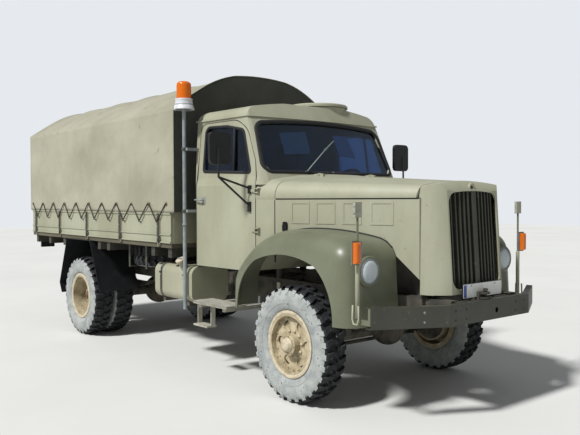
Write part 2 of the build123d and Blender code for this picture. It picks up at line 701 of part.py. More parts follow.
def lid_swing(radius):
    """The space that the lid's front edge sweeps as it opens."""
    return rod((BONNET_HINGE_X, -1000, BONNET_HINGE_Z), (BONNET_HINGE_X, 1000, BONNET_HINGE_Z), radius)


def radiator_shell():
    shell = shell_form(0) - shell_form(SHELL_WALL)
    shell -= block(SHELL_X - 60, SHELL_X, -700, 700, SHELL_BOTTOM_Z - 10, BONNET_SEAM_Z - RUN_GAP)
    shell -= lid_swing(LID_REACH + RUN_GAP) & block(SHELL_X - 80, SHELL_X + 80, -700, 700,
                                                    BONNET_SEAM_Z - RUN_GAP - 1, 2100)
    shell -= grille_window(0, SHELL_X + 80, SHELL_X + 300)
    shell -= block(SHELL_X - 60, SHELL_X + 300, -SHELL_HALF + 50, SHELL_HALF - 50, SHELL_BOTTOM_Z - 1,
                   SHELL_BOTTOM_Z + 2)
    return shell


def grille_window(inset, rear, front):
    half, low, high = GRILLE_HALF - inset, GRILLE_LOW_Z + inset, GRILLE_HIGH_Z - inset
    turn = GRILLE_TURN
    nick = turn * (1 - sqrt(0.5))
    return prism([
        (half - turn, low), (half - nick, low + nick, half, low + turn),
        (half, high - turn), (half - nick, high - nick, half - turn, high),
        (0, high + 12, -half + turn, high), (-half + nick, high - nick, -half, high - turn),
        (-half, low + turn), (-half + nick, low + nick, -half + turn, low),
    ], "YZ", rear, front)


def raked_bar(y0, y1, depth, proud):
    """One upright bar of the grille, lying along the shell's raked front."""
    y = (abs(y0) + abs(y1)) / 2
    back = 34.0 * (y / GRILLE_HALF) ** 2
    low_x = SHELL_NOSE_X - 10 - back + proud
    rise = GRILLE_HIGH_Z + 20 - GRILLE_LOW_Z
    return prism([
        (low_x, GRILLE_LOW_Z), (low_x - SHELL_RAKE * rise, GRILLE_LOW_Z + rise),
        (low_x - SHELL_RAKE * rise - depth, GRILLE_LOW_Z + rise), (low_x - depth, GRILLE_LOW_Z),
    ], "XZ", min(y0, y1), max(y0, y1))


def grille():
    pitch = (GRILLE_HALF - 20) / (SLATS_PER_HALF + 1)
    shape = raked_bar(-20, 20, 40, 6)
    for side in (1, -1):
        for number in range(1, SLATS_PER_HALF + 1):
            y = side * (20 + pitch * number)
            shape += raked_bar(y - 8, y + 8, 34, -4)
    for z in (GRILLE_LOW_Z + 40, (GRILLE_LOW_Z + GRILLE_HIGH_Z) / 2, GRILLE_HIGH_Z - 60):
        x = SHELL_NOSE_X - 62 - SHELL_RAKE * (z - GRILLE_LOW_Z)
        shape += block(x - 26, x, -GRILLE_HALF, GRILLE_HALF, z - 9, z + 9)
    return shape & grille_window(SEAT_GAP, SHELL_X + 60, SHELL_X + 300)


# Bonnet and cowl share one tapering form, hollowed by the same form drawn in

def bonnet_form(inset, x0=COWL_X, x1=SHELL_X, low=None):
    low = RAIL_TOP_Z if low is None else low
    share0 = (x0 - COWL_X) / (SHELL_X - COWL_X)
    share1 = (x1 - COWL_X) / (SHELL_X - COWL_X)
    faces = []
    for x, share in ((x0, share0), (x1, share1)):
        half = COWL_HALF + (SHELL_HALF - COWL_HALF) * share
        crown = COWL_CROWN_Z + (SHELL_CROWN_Z - COWL_CROWN_Z) * share
        faces.append(outline(crown_path(half, crown, inset, low), "YZ", x))
    return loft(faces, ruled=True)


def bonnet_lid():
    lid = bonnet_form(0) - bonnet_form(BONNET_SKIN)
    lid &= block(COWL_X + RUN_GAP, SHELL_X, -1000, 1000, BONNET_SEAM_Z, 2100)
    lid &= lid_swing(LID_REACH)
    for leaf, _ in bonnet_hinges():
        lid += leaf
    return lid


SIDE_PANEL_CUT = ((3022.0, 1423.0), (3148.0, 1295.0), (3347.0, 1110.0))
PRESSED_FRAMES = ((2156.0, 2345.0), (2408.0, 2599.0), (2668.0, 2846.0), (2927.0, 3133.0))      # x from, to
PRESSED_LOW_Z = 1540.0
PRESSED_HIGH_Z = 1734.0
PRESSED_BAND = 16.0
PRESSED_RISE = 5.0


def pressed_frames():
    """The raised rectangular beads along the left bonnet side."""
    beads = bonnet_form(-PRESSED_RISE) - bonnet_form(BONNET_SKIN / 2)
    rims = []
    for x0, x1 in PRESSED_FRAMES:
        rim = block(x0, x1, 300, 1000, PRESSED_LOW_Z, PRESSED_HIGH_Z)
        rim -= block(x0 + PRESSED_BAND, x1 - PRESSED_BAND, 290, 1010,
                     PRESSED_LOW_Z + PRESSED_BAND, PRESSED_HIGH_Z - PRESSED_BAND)
        rims.append(beads & rim)
    return rims


def bonnet_side():
    """The left fixed side between cowl and shell, cut off below along the wing and its front slope."""
    skin = bonnet_form(0) - bonnet_form(BONNET_SKIN)
    skin &= block(COWL_X + SEAT_GAP, SHELL_X - SEAT_GAP, 300, 1000, RAIL_TOP_Z, BONNET_SEAM_Z - RUN_GAP)
    wing = prism(wing_crest(WING_CLEARANCE), "XZ", 0, 1200)
    front = prism([*SIDE_PANEL_CUT, (3360, 1095), (3360, 700), (2900, 700), (2900, 1423)], "XZ", 0, 1200)
    skin -= wing
    skin -= front
    for bead in pressed_frames():
        skin += bead
    return skin


# Wings

def wing_crest(grow=0.0, low=WING_LOW_Z):
    """The top line of a wing in side view, moved outwards by grow: rear edge, tangent arcs, front edge."""
    way = radians(WING_REAR_ANGLE)
    x, z = WING_REAR_X - grow * sin(way), WING_LOW_Z + grow * cos(way)
    path = [(x + (low - z) / tan(way), low)]
    x, z = x + WING_REAR_EDGE * cos(way), z + WING_REAR_EDGE * sin(way)
    path.append((x, z))
    for radius, end_angle in WING_ARCS:
        end = radians(end_angle)
        reach = radius + grow
        centre_x, centre_z = x + reach * sin(way), z - reach * cos(way)
        half_way = (way + end) / 2
        middle = (centre_x - reach * sin(half_way), centre_z + reach * cos(half_way))
        x, z, way = centre_x - reach * sin(end), centre_z + reach * cos(end), end
        path.append((*middle, x, z))
    path.append((x + (low - z) / tan(way), low))
    return path


def wing_arch():
    """The edge of the wheel opening in side view."""
    return [
        (1700, 600), (1708, WING_LOW_Z), (1790, 1040, 1985, 1215),
        (2366, 1284, 2780, 1212), (2945, 1020, 3000, WING_LOW_Z), (3006, 600),
    ]


def wing_form(inset, low):
    """The closed form under the crest, drawn in by inset, with its outer edge rolled."""
    outer = WING_OUTER_Y - inset
    form = prism(wing_crest(-inset, low), "XZ", 0, outer)
    far = [edge for edge in form.edges()
           if abs(edge.center().Y - outer) < 1 and edge.center().Z > low + 1]
    return fillet(far, WING_ROLL_R - inset)


def wing():
    """The left wing: an open pressing with a rolled outer edge and an inner front wall."""
    shape = wing_form(0, WING_LOW_Z) - wing_form(WING_SKIN, WING_LOW_Z - 60)
    shape -= prism(wing_arch(), "XZ", WING_OUTER_Y - 260, WING_OUTER_Y + 10)
    shape -= prism([(1300, -10), (1300, 790), (COWL_X, 790), (COWL_X + 60, COWL_HALF - 60),
                    (3158, WING_INNER_FRONT_Y), (3400, WING_INNER_FRONT_Y), (3400, -10)], "XY",
                   WING_LOW_Z - 100, 1600)
    shape -= rod((3100, HEADLIGHT_Y, HEADLIGHT_Z), (3300, HEADLIGHT_Y, HEADLIGHT_Z), HEADLIGHT_RING_R - 10)
    return shape


# Lamps

def headlight():
    """The left bowl with its ring, turned about X."""
    x = HEADLIGHT_FACE_X
    back, ring = 90.0, 24.0
    path = [
        (x - back, 0), (x - 6, 0), (x - 6, HEADLIGHT_LENS_R - 8), (x + 2, HEADLIGHT_LENS_R),
        (x + 2, HEADLIGHT_RING_R - 8), (x - 6, HEADLIGHT_RING_R), (x - ring, HEADLIGHT_RING_R),
        (x - ring, HEADLIGHT_RING_R - 10 - 2 * SEAT_GAP),
        (x - 50, HEADLIGHT_RING_R - 10 - 2 * SEAT_GAP), (x - 80, 70),
    ]
    bowl = revolve(outline([(a, b) for a, b in path], "XZ"), Axis.X)
    return Pos(0, HEADLIGHT_Y, HEADLIGHT_Z) * bowl


def headlight_lens():
    x = HEADLIGHT_FACE_X - 6 + SEAT_GAP
    edge = HEADLIGHT_LENS_R - 8 - SEAT_GAP
    face = outline([(x, 0), (x + 26, 0), (x + 20, edge * 0.55, x + 6, edge), (x, edge)], "XZ")
    return Pos(0, HEADLIGHT_Y, HEADLIGHT_Z) * revolve(face, Axis.X)


def marker_rod():
    """The left marker rod, with the indicator's plate and a strap to the bumper's end."""
    shape = rod((MARKER_X, MARKER_Y, 800), (MARKER_X, MARKER_Y, MARKER_TOP_Z), MARKER_ROD_R)
    shape += block(MARKER_X - 14, MARKER_X + 14, MARKER_Y - 34, MARKER_Y + 34,
                   MARKER_TOP_Z - 112, MARKER_TOP_Z)
    low, high = INDICATOR_Z - INDICATOR_HEIGHT / 2 - 12, INDICATOR_Z + INDICATOR_HEIGHT / 2 + 12
    shape += block(MARKER_X + 4, MARKER_X + 16, MARKER_Y - 6, INDICATOR_Y + 38, low, high)
    shape += block(MARKER_X - 12, BUMPER_END_X - BUMPER_DEPTH + 40, MARKER_Y - 14, MARKER_Y + 2, 800, 840)
    shape += block(BUMPER_END_X - 40, BUMPER_END_X - 16, MARKER_Y - 14, MARKER_Y + 2, 800,
                   BUMPER_TOP_Z - BUMPER_WALL - SEAT_GAP)
    return shape


def indicator():
    low, high = INDICATOR_Z - INDICATOR_HEIGHT / 2, INDICATOR_Z + INDICATOR_HEIGHT / 2
    x = MARKER_X + 16 + SEAT_GAP
    lens = block(x, x + 38, INDICATOR_Y - 30, INDICATOR_Y + 30, low, high)
    return chamfer(lens.faces().sort_by(Axis.X)[-1].edges(), 12)


def tail_lamp():
    lamp = block(TAIL_LAMP_X - 40, TAIL_LAMP_X, 840, 1040, TAIL_LAMP_Z - 55, TAIL_LAMP_Z + 55)
    return chamfer(lamp.faces().sort_by(Axis.X)[0].edges(), 10)


# Cab

def cab_half(x):
    return CAB_HALF - (x - CAB_REAR_X) * CAB_TAPER


def cab_section(inset, low, x):
    """Front-view outline at x: upright side, tumblehome above the belt, rounded eaves, crowned roof."""
    half = cab_half(x) - inset
    belt, eave = half - CAB_BELT_IN, half - CAB_EAVE_IN
    top = CAB_CROWN_Z - inset
    turn = eave - 130
    return [
        (half, low), (half, CAB_WAIST_Z), (belt, CAB_BELT_Z), (eave, CAB_EAVE_Z),
        (eave - 32, CAB_EAVE_Z + 66 - inset * 0.7, turn, top - 62), (0, top, -turn, top - 62),
        (-eave + 32, CAB_EAVE_Z + 66 - inset * 0.7, -eave, CAB_EAVE_Z), (-belt, CAB_BELT_Z),
        (-half, CAB_WAIST_Z), (-half, low),
    ]


def cab_sides(inset, low, x0, x1):
    return loft([outline(cab_section(inset, low, x), "YZ", x) for x in (x0, x1)], ruled=True)


def cab_rear_plan(inset, front_x, low, high):
    """A wide block that rounds the cab's two rear corners."""
    rear, half, turn = CAB_REAR_X + inset, CAB_HALF + 2 - inset, 110.0 - inset
    nick = turn * (1 - sqrt(0.5))
    return prism([
        (front_x, half), (rear + turn, half), (rear + nick, half - nick, rear, half - turn),
        (rear, -half + turn), (rear + nick, -half + nick, rear + turn, -half), (front_x, -half),
    ], "XY", low, high)


def screen_plan(inset):
    """Plan outline, at the windscreen's base, of what lies behind its bowed face and rounded corners."""
    edge = SCREEN_BASE_X + 34 - inset
    corner = SCREEN_BASE_HALF + 34 - inset
    wide = CAB_HALF + 80
    return [
        (CAB_REAR_X - 400, wide), (edge - 150, wide), (edge - 70, corner + 56),
        (edge, corner - 20, edge + 10, corner - 40), (edge + SCREEN_BULGE, 0, edge + 10, -corner + 40),
        (edge, -corner + 20, edge - 70, -corner - 56), (edge - 150, -wide), (CAB_REAR_X - 400, -wide),
    ]


def raked(plan):
    """Draws a plan face at the windscreen's base up and down along the windscreen's slope."""
    drop = SCREEN_BASE_Z - CAB_WAIST_Z + 10
    plan = Pos(SCREEN_SLOPE * drop, 0, -drop) * plan
    return extrude(plan, amount=1100, dir=(-SCREEN_SLOPE, 0, 1))


def cab_upper(inset):
    """The cab above the cowl: vertical rear, raked and bowed windscreen, domed roof."""
    low = CAB_WAIST_Z
    far = SCREEN_BASE_X + 200
    form = cab_sides(inset, CAB_FLOOR_Z, CAB_REAR_X + inset, far)
    form &= cab_rear_plan(inset, far + 10, low - 10, CAB_CROWN_Z + 60)
    form &= raked(outline(screen_plan(inset), "XY", SCREEN_BASE_Z))
    brow_x = SCREEN_TOP_X + 60 - inset
    top = CAB_CROWN_Z - inset
    form &= prism([
        (CAB_REAR_X - 10, low), (far + 10, low), (far + 10, SCREEN_TOP_Z - 120),
        (brow_x + 96, SCREEN_TOP_Z + 40), (brow_x + 30, top - 84, brow_x - 190, top - 16),
        (CAB_REAR_X + 520, top + 6, CAB_REAR_X + 150, top - 20),
        (CAB_REAR_X + 40 + inset / 2, top - 60, CAB_REAR_X + inset, top - 180), (CAB_REAR_X - 10, top - 190),
    ], "XZ", -1100, 1100)
    return form


def cab_lower(inset):
    """The cab below the belt, and the cowl tapering forward to the bonnet."""
    top = CAB_WAIST_Z
    body = cab_sides(inset, CAB_FLOOR_Z, CAB_REAR_X + inset, DOOR_FRONT_X + 2)
    body &= cab_rear_plan(inset, DOOR_FRONT_X + 10, CAB_FLOOR_Z - 10, top)
    ends = []
    for x, half, crown in (
        (DOOR_FRONT_X, cab_half(DOOR_FRONT_X), SCREEN_BASE_Z + 8),
        (COWL_X, COWL_HALF, COWL_CROWN_Z),
    ):
        ends.append(outline(crown_path(half, crown, inset, CAB_FLOOR_Z), "YZ", x))
    return body, loft(ends, ruled=True)


def toe_cut(grow):
    """Side view of what the wings and wheels need under the front of the cab."""
    return prism(wing_crest(WING_CLEARANCE + grow), "XZ", -1200, 1200)


def door_opening(gap):
    """Side view of a door, gap larger all round, with its lower front corner cut by the wing."""
    rear, front, top, low = DOOR_REAR_X - gap, DOOR_FRONT_X + gap, DOOR_TOP_Z + gap, DOOR_BOTTOM_Z - gap
    return [
        (rear, low), (1550 + gap * 0.4, low), (1625 + gap * 0.3, 1186 - gap, front, 1285 - gap),
        (front, CAB_WAIST_Z), (front - 40, 2128), (1618 + gap, 2324),
        (1566 + gap * 0.8, 2412 + gap * 0.6, 1480, 2484 + gap), (1410, 2520 + gap, 1300, top),
        (rear + 90, top), (rear + 26, top - 26, rear, top - 90),
    ]


def window_opening(gap):
    """Side view of the door's window, gap larger all round."""
    return [
        (886 - gap, 2044 - gap), (1656 + gap, 2012 - gap), (1530 + gap, 2340),
        (1506 + gap, 2408, 1440, 2442 + gap),
        (1340, 2476 + gap, 1200, 2486 + gap), (950, 2496 + gap), (898, 2486, 886 - gap, 2430),
    ]


def screen_opening(inset):
    """The windscreen's outline in front view."""
    base, top = SCREEN_BASE_HALF - inset, SCREEN_TOP_HALF - inset
    low, high = SCREEN_BASE_Z + inset, SCREEN_TOP_Z - inset
    return [
        (base - 64, low), (base - 6, low + 66), (top, high - 90),
        (top - 24, high - 18, top - 100, high + 8), (0, high + 46, -top + 100, high + 8),
        (-top + 24, high - 18, -top, high - 90), (-base + 6, low + 66), (-base + 64, low),
    ]


REAR_WINDOW_HALF = 420.0
REAR_WINDOW_LOW = 2080.0
REAR_WINDOW_HIGH = 2400.0


def door_cuts():
    """What both door openings take from the walls."""
    cuts = []
    for side in (1, -1):
        near = cab_half(DOOR_FRONT_X) - CAB_EAVE_IN - CAB_WALL - 6
        low, high = sorted((side * near, side * (CAB_HALF + 50)))
        cuts.append(prism(door_opening(DOOR_GAP), "XZ", low, high))
    return cuts


def cab_body():
    """Lower walls with the floor, cowl and upper walls, each hollowed and cut, and then joined."""
    doors = door_cuts()
    toe = toe_cut(0)
    toe_board = toe_cut(FLOOR_T)
    lower, cowl = cab_lower(0)
    lower_room, cowl_room = cab_lower(CAB_WALL)
    upper_room = cab_upper(CAB_WALL)
    cowl_room &= block(DOOR_FRONT_X - 60, COWL_X - CAB_WALL, -1100, 1100, CAB_FLOOR_Z - 10, 2200)

    upper = cab_upper(0) - upper_room
    upper -= prism(screen_opening(0), "YZ", SCREEN_TOP_X - 90, SCREEN_BASE_X + 400)
    upper -= block(0, 2500, -1200, 1200, CAB_EAVE_Z, 3000)
    lower -= Pos(0, 0, FLOOR_T) * lower_room - toe_board
    lower -= toe
    cowl -= cowl_room - toe_board
    cowl -= upper_room
    cowl -= toe
    for cut in doors:
        upper -= cut
        lower -= cut
        cowl -= cut
    upper -= cowl_room
    walls = lower + cowl + upper
    for _, ears in bonnet_hinges():
        walls += ears
    for _, ears in door_hinges():
        walls += ears
        walls += mirrored(ears)
    return walls - block(CAB_REAR_X - 20, CAB_REAR_X + CAB_WALL + 20, -REAR_WINDOW_HALF, REAR_WINDOW_HALF,
                         REAR_WINDOW_LOW, REAR_WINDOW_HIGH)


def cab_roof():
    roof = cab_upper(0) - cab_upper(CAB_WALL) - block(0, 2500, -1200, 1200, 0, CAB_EAVE_Z + SEAT_GAP)
    rail = cab_upper(-14) & block(0, 2500, -1200, 1200, CAB_EAVE_Z + SEAT_GAP, CAB_EAVE_Z + 16)
    roof += rail - cab_upper(10)
    collar = rod((HATCH_X, HATCH_Y, CAB_EAVE_Z + 40), (HATCH_X, HATCH_Y, CAB_CROWN_Z), HATCH_R - 14)
    roof += collar - cab_upper(CAB_WALL)
    for _, ears in hatch_hinges():
        roof += ears
    return roof - rod((HATCH_X, HATCH_Y, 2500), (HATCH_X, HATCH_Y, 2900), HATCH_R - 40)


def roof_hatch():
    z = CAB_CROWN_Z + RUN_GAP
    lid = rod((HATCH_X, HATCH_Y, z), (HATCH_X, HATCH_Y, z + 34), HATCH_R)
    lid = Part() + chamfer(lid.faces().sort_by(Axis.Z)[-1].edges(), 12)
    for leaf, _ in hatch_hinges():
        lid += leaf
    return lid


def cab_glass():
    middle, end, half = SCREEN_BASE_X + SCREEN_BULGE + 20, SCREEN_BASE_X + 27, SCREEN_BASE_HALF + 4
    screen = raked(outline([
        (end, half), (middle, 0, end, -half),
        (end - GLASS_T, -half), (middle - GLASS_T, 0, end - GLASS_T, half),
    ], "XY", SCREEN_BASE_Z))
    screen &= prism(screen_opening(SEAT_GAP), "YZ", SCREEN_TOP_X - 60, SCREEN_BASE_X + 200)
    rear = block(CAB_REAR_X + 16, CAB_REAR_X + 16 + GLASS_T, -REAR_WINDOW_HALF + SEAT_GAP,
                 REAR_WINDOW_HALF - SEAT_GAP, REAR_WINDOW_LOW + SEAT_GAP, REAR_WINDOW_HIGH - SEAT_GAP)
    return [screen, rear]


def door():
    """The left door: one panel as thick as the cab's wall that follows its side, with its window cut."""
    leaf = cab_sides(0, CAB_FLOOR_Z, DOOR_REAR_X - 50, DOOR_FRONT_X + 50)
    leaf -= cab_sides(CAB_WALL, CAB_FLOOR_Z - 10, DOOR_REAR_X - 60, DOOR_FRONT_X + 60)
    leaf &= prism(door_opening(0), "XZ", 700, CAB_HALF + 20)
    leaf -= prism(window_opening(0), "XZ", 700, CAB_HALF + 30)
    for turning, _ in door_hinges():
        leaf += turning
    return leaf


def door_glass():
    pane = cab_sides(18, CAB_FLOOR_Z, DOOR_REAR_X, DOOR_FRONT_X)
    pane -= cab_sides(18 + GLASS_T, CAB_FLOOR_Z - 10, DOOR_REAR_X - 10, DOOR_FRONT_X + 10)
    return pane & prism(window_opening(-3 * SEAT_GAP), "XZ", 700, CAB_HALF + 30)


MIRROR_X = 1621.0
MIRROR_ELBOW_Y = 1269.0
MIRROR_ARM_R = 10.0


def mirror_unit():
    """The left mirror: two tube arms from brackets on the door to an elbow, and the head above it."""
    elbow = (MIRROR_X, MIRROR_ELBOW_Y, 1964)
    shape = rod(elbow, (MIRROR_X, MIRROR_ELBOW_Y, 2240), MIRROR_ARM_R)
    for x, low, high in ((1676, 1812, 1890), (1672, 1640, 1736)):
        face = cab_half(x) + SEAT_GAP + 1.2
        shape += block(x - 22, x + 22, face, face + 14, low, high)
        shape += rod((x, face + 8, (low + high) / 2 + 12), elbow, MIRROR_ARM_R)
    head = block(MIRROR_X - 40, MIRROR_X - 4, 1130, 1360, 2080, 2380)
    return shape + fillet(head.edges().filter_by(Axis.X), 50)


# Inside the cab

def seats():
    """Two seats, each a cushion and a backrest on a low box."""
    low = CAB_FLOOR_Z + FLOOR_T + SEAT_GAP
    made = []
    for y in (-430.0, 430.0):
        base = block(930, 1330, y - 230, y + 230, low, low + 240)
        cushion = block(900, 1380, y - 255, y + 255, low + 240, low + 360)
        back = prism([(960, low + 340), (860, low + 900), (780, low + 900), (850, low + 340)], "XZ",
                     y - 245, y + 245)
        made.append(base + cushion + back)
    return made


STEER_WHEEL_Y = 430.0
COLUMN_R = 19.0


def at_steering_wheel(shape):
    return Pos(1520, STEER_WHEEL_Y, 1900) * (Rot(0, -52, 0) * shape)


def dashboard():
    y = COWL_HALF - CAB_WALL - 60
    front = COWL_X - CAB_WALL - SEAT_GAP
    dash = prism([(front, 1560), (front, 1880), (1700, 1900), (1650, 1860), (1720, 1640)], "XZ", -y, y)
    return dash - at_steering_wheel(Pos(0, 0, -300) * Cylinder(COLUMN_R + SEAT_GAP, 600))


def steering_wheel():
    """Rim, three spokes, boss and column, built flat and then tilted towards the seat."""
    rim = Torus(215, 14)
    shape = rim + Cylinder(38, 40)
    for number in range(3):
        turn = 90 + 120 * number
        spoke = Rot(0, 0, turn) * (Pos(112, 0, 0) * Box(216, 22, 12))
        shape += spoke
    shape += Pos(0, 0, -210) * Cylinder(COLUMN_R, 400)
    return at_steering_wheel(shape)


# Running boards

def running_board():
    """The left board on two arms from the frame, with a stirrup step under its rear end."""
    shape = block(BOARD_REAR_X, BOARD_FRONT_X, BOARD_INNER_Y, BOARD_OUTER_Y,
                  BOARD_TOP_Z - BOARD_T, BOARD_TOP_Z)
    arm_low = BOARD_TOP_Z - 62
    root = RAIL_OUTER_Y + SEAT_GAP
    for x in (BOARD_REAR_X + 60, BOARD_FRONT_X - 110):
        shape += block(x, x + 50, root, BOARD_OUTER_Y - 30, arm_low, BOARD_TOP_Z - BOARD_T + 2)
        shape += block(x, x + 50, root, RAIL_OUTER_Y + 14, arm_low, RAIL_TOP_Z - 40)
    step_rear, step_front = BOARD_REAR_X - 26, BOARD_REAR_X + 224
    for x in (step_rear, step_front - 10):
        shape += block(x, x + 10, BOARD_OUTER_Y - 120, BOARD_OUTER_Y - 70, 500, BOARD_TOP_Z - 2)
    shape += block(step_rear, step_front, BOARD_OUTER_Y - 135, BOARD_OUTER_Y - 20, 490, 506)
    shape += block(step_rear, BOARD_REAR_X + 2, BOARD_OUTER_Y - 120, BOARD_OUTER_Y - 70,
                   BOARD_TOP_Z - 20, BOARD_TOP_Z - 2)
    return shape


# Fuel tank on the right side, with its two straps and filler

def fuel_tank():
    turn = 90.0
    nick = turn * (1 - sqrt(0.5))

    def section(grow):
        outer, inner = -TANK_OUTER_Y - grow, -TANK_INNER_Y + grow
        low, high = TANK_LOW_Z - grow, TANK_HIGH_Z + grow
        return [
            (inner - turn, low), (outer + turn, low), (outer + nick, low + nick, outer, low + turn),
            (outer, high - turn), (outer + nick, high - nick, outer + turn, high), (inner - turn, high),
            (inner - nick, high - nick, inner, high - turn),
            (inner, low + turn), (inner - nick, low + nick, inner - turn, low),
        ]

    shape = prism(section(0), "YZ", TANK_REAR_X, TANK_FRONT_X)
    for x in TANK_ARM_X:
        strap = prism(section(4), "YZ", x - 22, x + 22) & block(x - 30, x + 30, -1200, 0, TANK_LOW_Z, 1200)
        shape += strap
    shape += rod((591, -1000, TANK_HIGH_Z - 60), (591, -1062, TANK_HIGH_Z + 48), 38)
    shape += rod((591, -1060, TANK_HIGH_Z + 44), (591, -1074, TANK_HIGH_Z + 68), 48)
    return shape


# Spare wheel, lying flat on its carrier

def spare(shape):
    return Pos(SPARE_X, SPARE_Y, SPARE_Z) * (Rot(-90, 0, 0) * shape)


def spare_tyre():
    return spare(tyre())


def spare_rim():
    return spare(rim_ring() + disc(FRONT_DISC_Y, DISC_T, RIM_SEAT_R - RIM_WALL / 2, 6, 44, 172))


CARRIER_T = SPARE_Z - TYRE_HALF_WIDTH - SEAT_GAP - RAIL_TOP_Z


def spare_carrier():
    low = RAIL_TOP_Z + SEAT_GAP
    outer = SPARE_Y - TYRE_R - 14
    bars = []
    for x in (SPARE_X - 230, SPARE_X + 190):
        bar = block(x, x + 40, outer, -RAIL_OUTER_Y + RAIL_FLANGE, low, low + CARRIER_T - SEAT_GAP)
        bar += block(x, x + 40, outer, outer + 8, low, FLOOR_LOW_Z - SEAT_GAP)
        bars.append(bar)
    return bars


# Bed

def bed_frame():
    """Timber sills along the rails, open where the spare wheel lies, under cross bearers."""
    low, high = RAIL_TOP_Z + SEAT_GAP, FLOOR_LOW_Z - SEAT_GAP
    sill_top = high - BEARER_HEIGHT
    shape = None
    spare_half = TYRE_R + 30
    stretches = ((1, BED_FRONT_X - 20, BED_REAR_X + 60), (-1, BED_FRONT_X - 20, SPARE_X + spare_half),
                 (-1, SPARE_X - spare_half, BED_REAR_X + 60))
    for side, front, rear in stretches:
        y = side * (RAIL_OUTER_Y - RAIL_FLANGE / 2)
        sill = block(rear, front, y - 38, y + 38, low, sill_top + 2)
        shape = sill if shape is None else shape + sill
    for x in BEARER_X:
        shape += block(x - 40, x + 40, -BED_HALF + 40, BED_HALF - 40, sill_top, high)
    return shape


# Hinges: a fixed pin between two ears, and a leaf with a barrel that turns on it

PIN_R = 6.0
BARREL_R = 11.0
BARREL_HALF = 14.0
EAR_INNER = BARREL_HALF + SEAT_GAP
EAR_OUTER = EAR_INNER + 8.0
GATE_HINGE_X = BED_REAR_X - 28.0
GATE_HINGE_Z = FLOOR_TOP_Z
GATE_HINGE_Y = (-760.0, 0.0, 760.0)
DOOR_HINGE_X = DOOR_FRONT_X + 6.0
DOOR_HINGE_Y = 960.0
DOOR_HINGE_Z = (1470.0, 1840.0)
BONNET_HINGE_Y = (-350.0, 350.0)


def hinge(at, along, leaf_plate, root_plate):
    """The turning half and the fixed half; a plate joins each to its panel."""
    def span(half, radius):
        ends = [[a + side * half * b for a, b in zip(at, along)] for side in (-1, 1)]
        return rod(ends[0], ends[1], radius)

    leaf = span(BARREL_HALF, BARREL_R) + (leaf_plate & span(BARREL_HALF, 300))
    leaf -= span(BARREL_HALF + 1, PIN_R + SEAT_GAP)
    ears = span(EAR_OUTER, BARREL_R - 1) + (root_plate & span(EAR_OUTER, 300))
    ears -= span(EAR_INNER, 300)
    return leaf, ears + span(EAR_OUTER, PIN_R)


def gate_hinges():
    x, z = GATE_HINGE_X, GATE_HINGE_Z
    return [hinge((x, y, z), (0, 1, 0), block(x - 5, x + 5, y - 20, y + 20, z, z + 60),
                  block(x, BED_REAR_X + 2, y - 40, y + 40, z - 17, z)) for y in GATE_HINGE_Y]


def hatch_hinges():
    x, z = HATCH_HINGE_X, HATCH_HINGE_Z
    return [hinge((x, y, z), (0, 1, 0), block(x, x + 60, y - 20, y + 20, z - 5, z + 5),
                  block(x - 12, x, y - 40, y + 40, CAB_CROWN_Z - 60, z))
            for y in (HATCH_Y - HATCH_HINGE_HALF, HATCH_Y + HATCH_HINGE_HALF)]


def bonnet_hinges():
    x, z = BONNET_HINGE_X, BONNET_HINGE_Z
    return [hinge((x, y, z), (0, 1, 0), block(x, x + 60, y - 20, y + 20, z - 30, z + 4),
                  block(COWL_X - 50, COWL_X, y - 40, y + 40, z - 34, z + 4)
                  + block(COWL_X - 10, x, y - 40, y + 40, z - 6, z + 4)) for y in BONNET_HINGE_Y]


def door_hinges():
    """The left door's hinges, proud of its side."""
    x, y = DOOR_HINGE_X, DOOR_HINGE_Y
    made = []
    for z in DOOR_HINGE_Z:
        leaf_plate = block(x - 52, x, y - 5, y + 5, z - 20, z + 20)
        leaf_plate += block(x - 52, x - 14, y - 24, y, z - 20, z + 20)
        root_plate = block(x, x + 56, y - 5, y + 5, z - 40, z + 40)
        root_plate += block(x + 14, x + 56, y - 56, y, z - 40, z + 40)
        made.append(hinge((x, y, z), (0, 0, 1), leaf_plate, root_plate))
    return made


def bed_floor():
    floor = block(BED_REAR_X, BED_FRONT_X, -BED_HALF + 20, BED_HALF - 20, FLOOR_LOW_Z, FLOOR_TOP_Z)
    for _, ears in gate_hinges():
        floor += ears
    return floor


def ribbed_wall(length, low, high):
    """A dropside drawn along X: panel, top and middle ridge, and upright ribs on the outer face."""
    shape = block(0, length, 0, BED_WALL_T, low, high)
    for z, height in ((low + 4, 18.0), (low + 88, 14.0), (high - 20, 20.0)):
        shape += block(0, length, BED_WALL_T - 2, BED_WALL_T + 10, z, z + height)
    return shape


def dropside():
    length = BED_FRONT_X - BED_REAR_X - 8
    wall = ribbed_wall(length, FLOOR_TOP_Z + SEAT_GAP, WALL_TOP_Z)
    for x in STAKE_X:
        wall += block(x - BED_REAR_X - 24, x - BED_REAR_X + 24, BED_WALL_T - 2, BED_WALL_T + 14,
                      FLOOR_TOP_Z - 30, WALL_TOP_Z - 6)
    return Pos(BED_REAR_X + 4, BED_HALF - BED_WALL_T - 14, 0) * wall




def bed_walls():
    side = dropside()
    head = block(BED_FRONT_X - BED_WALL_T, BED_FRONT_X, -BED_HALF + 46, BED_HALF - 46,
                 FLOOR_TOP_Z + SEAT_GAP, WALL_TOP_Z + 500)
    return [side, mirrored(side), head]


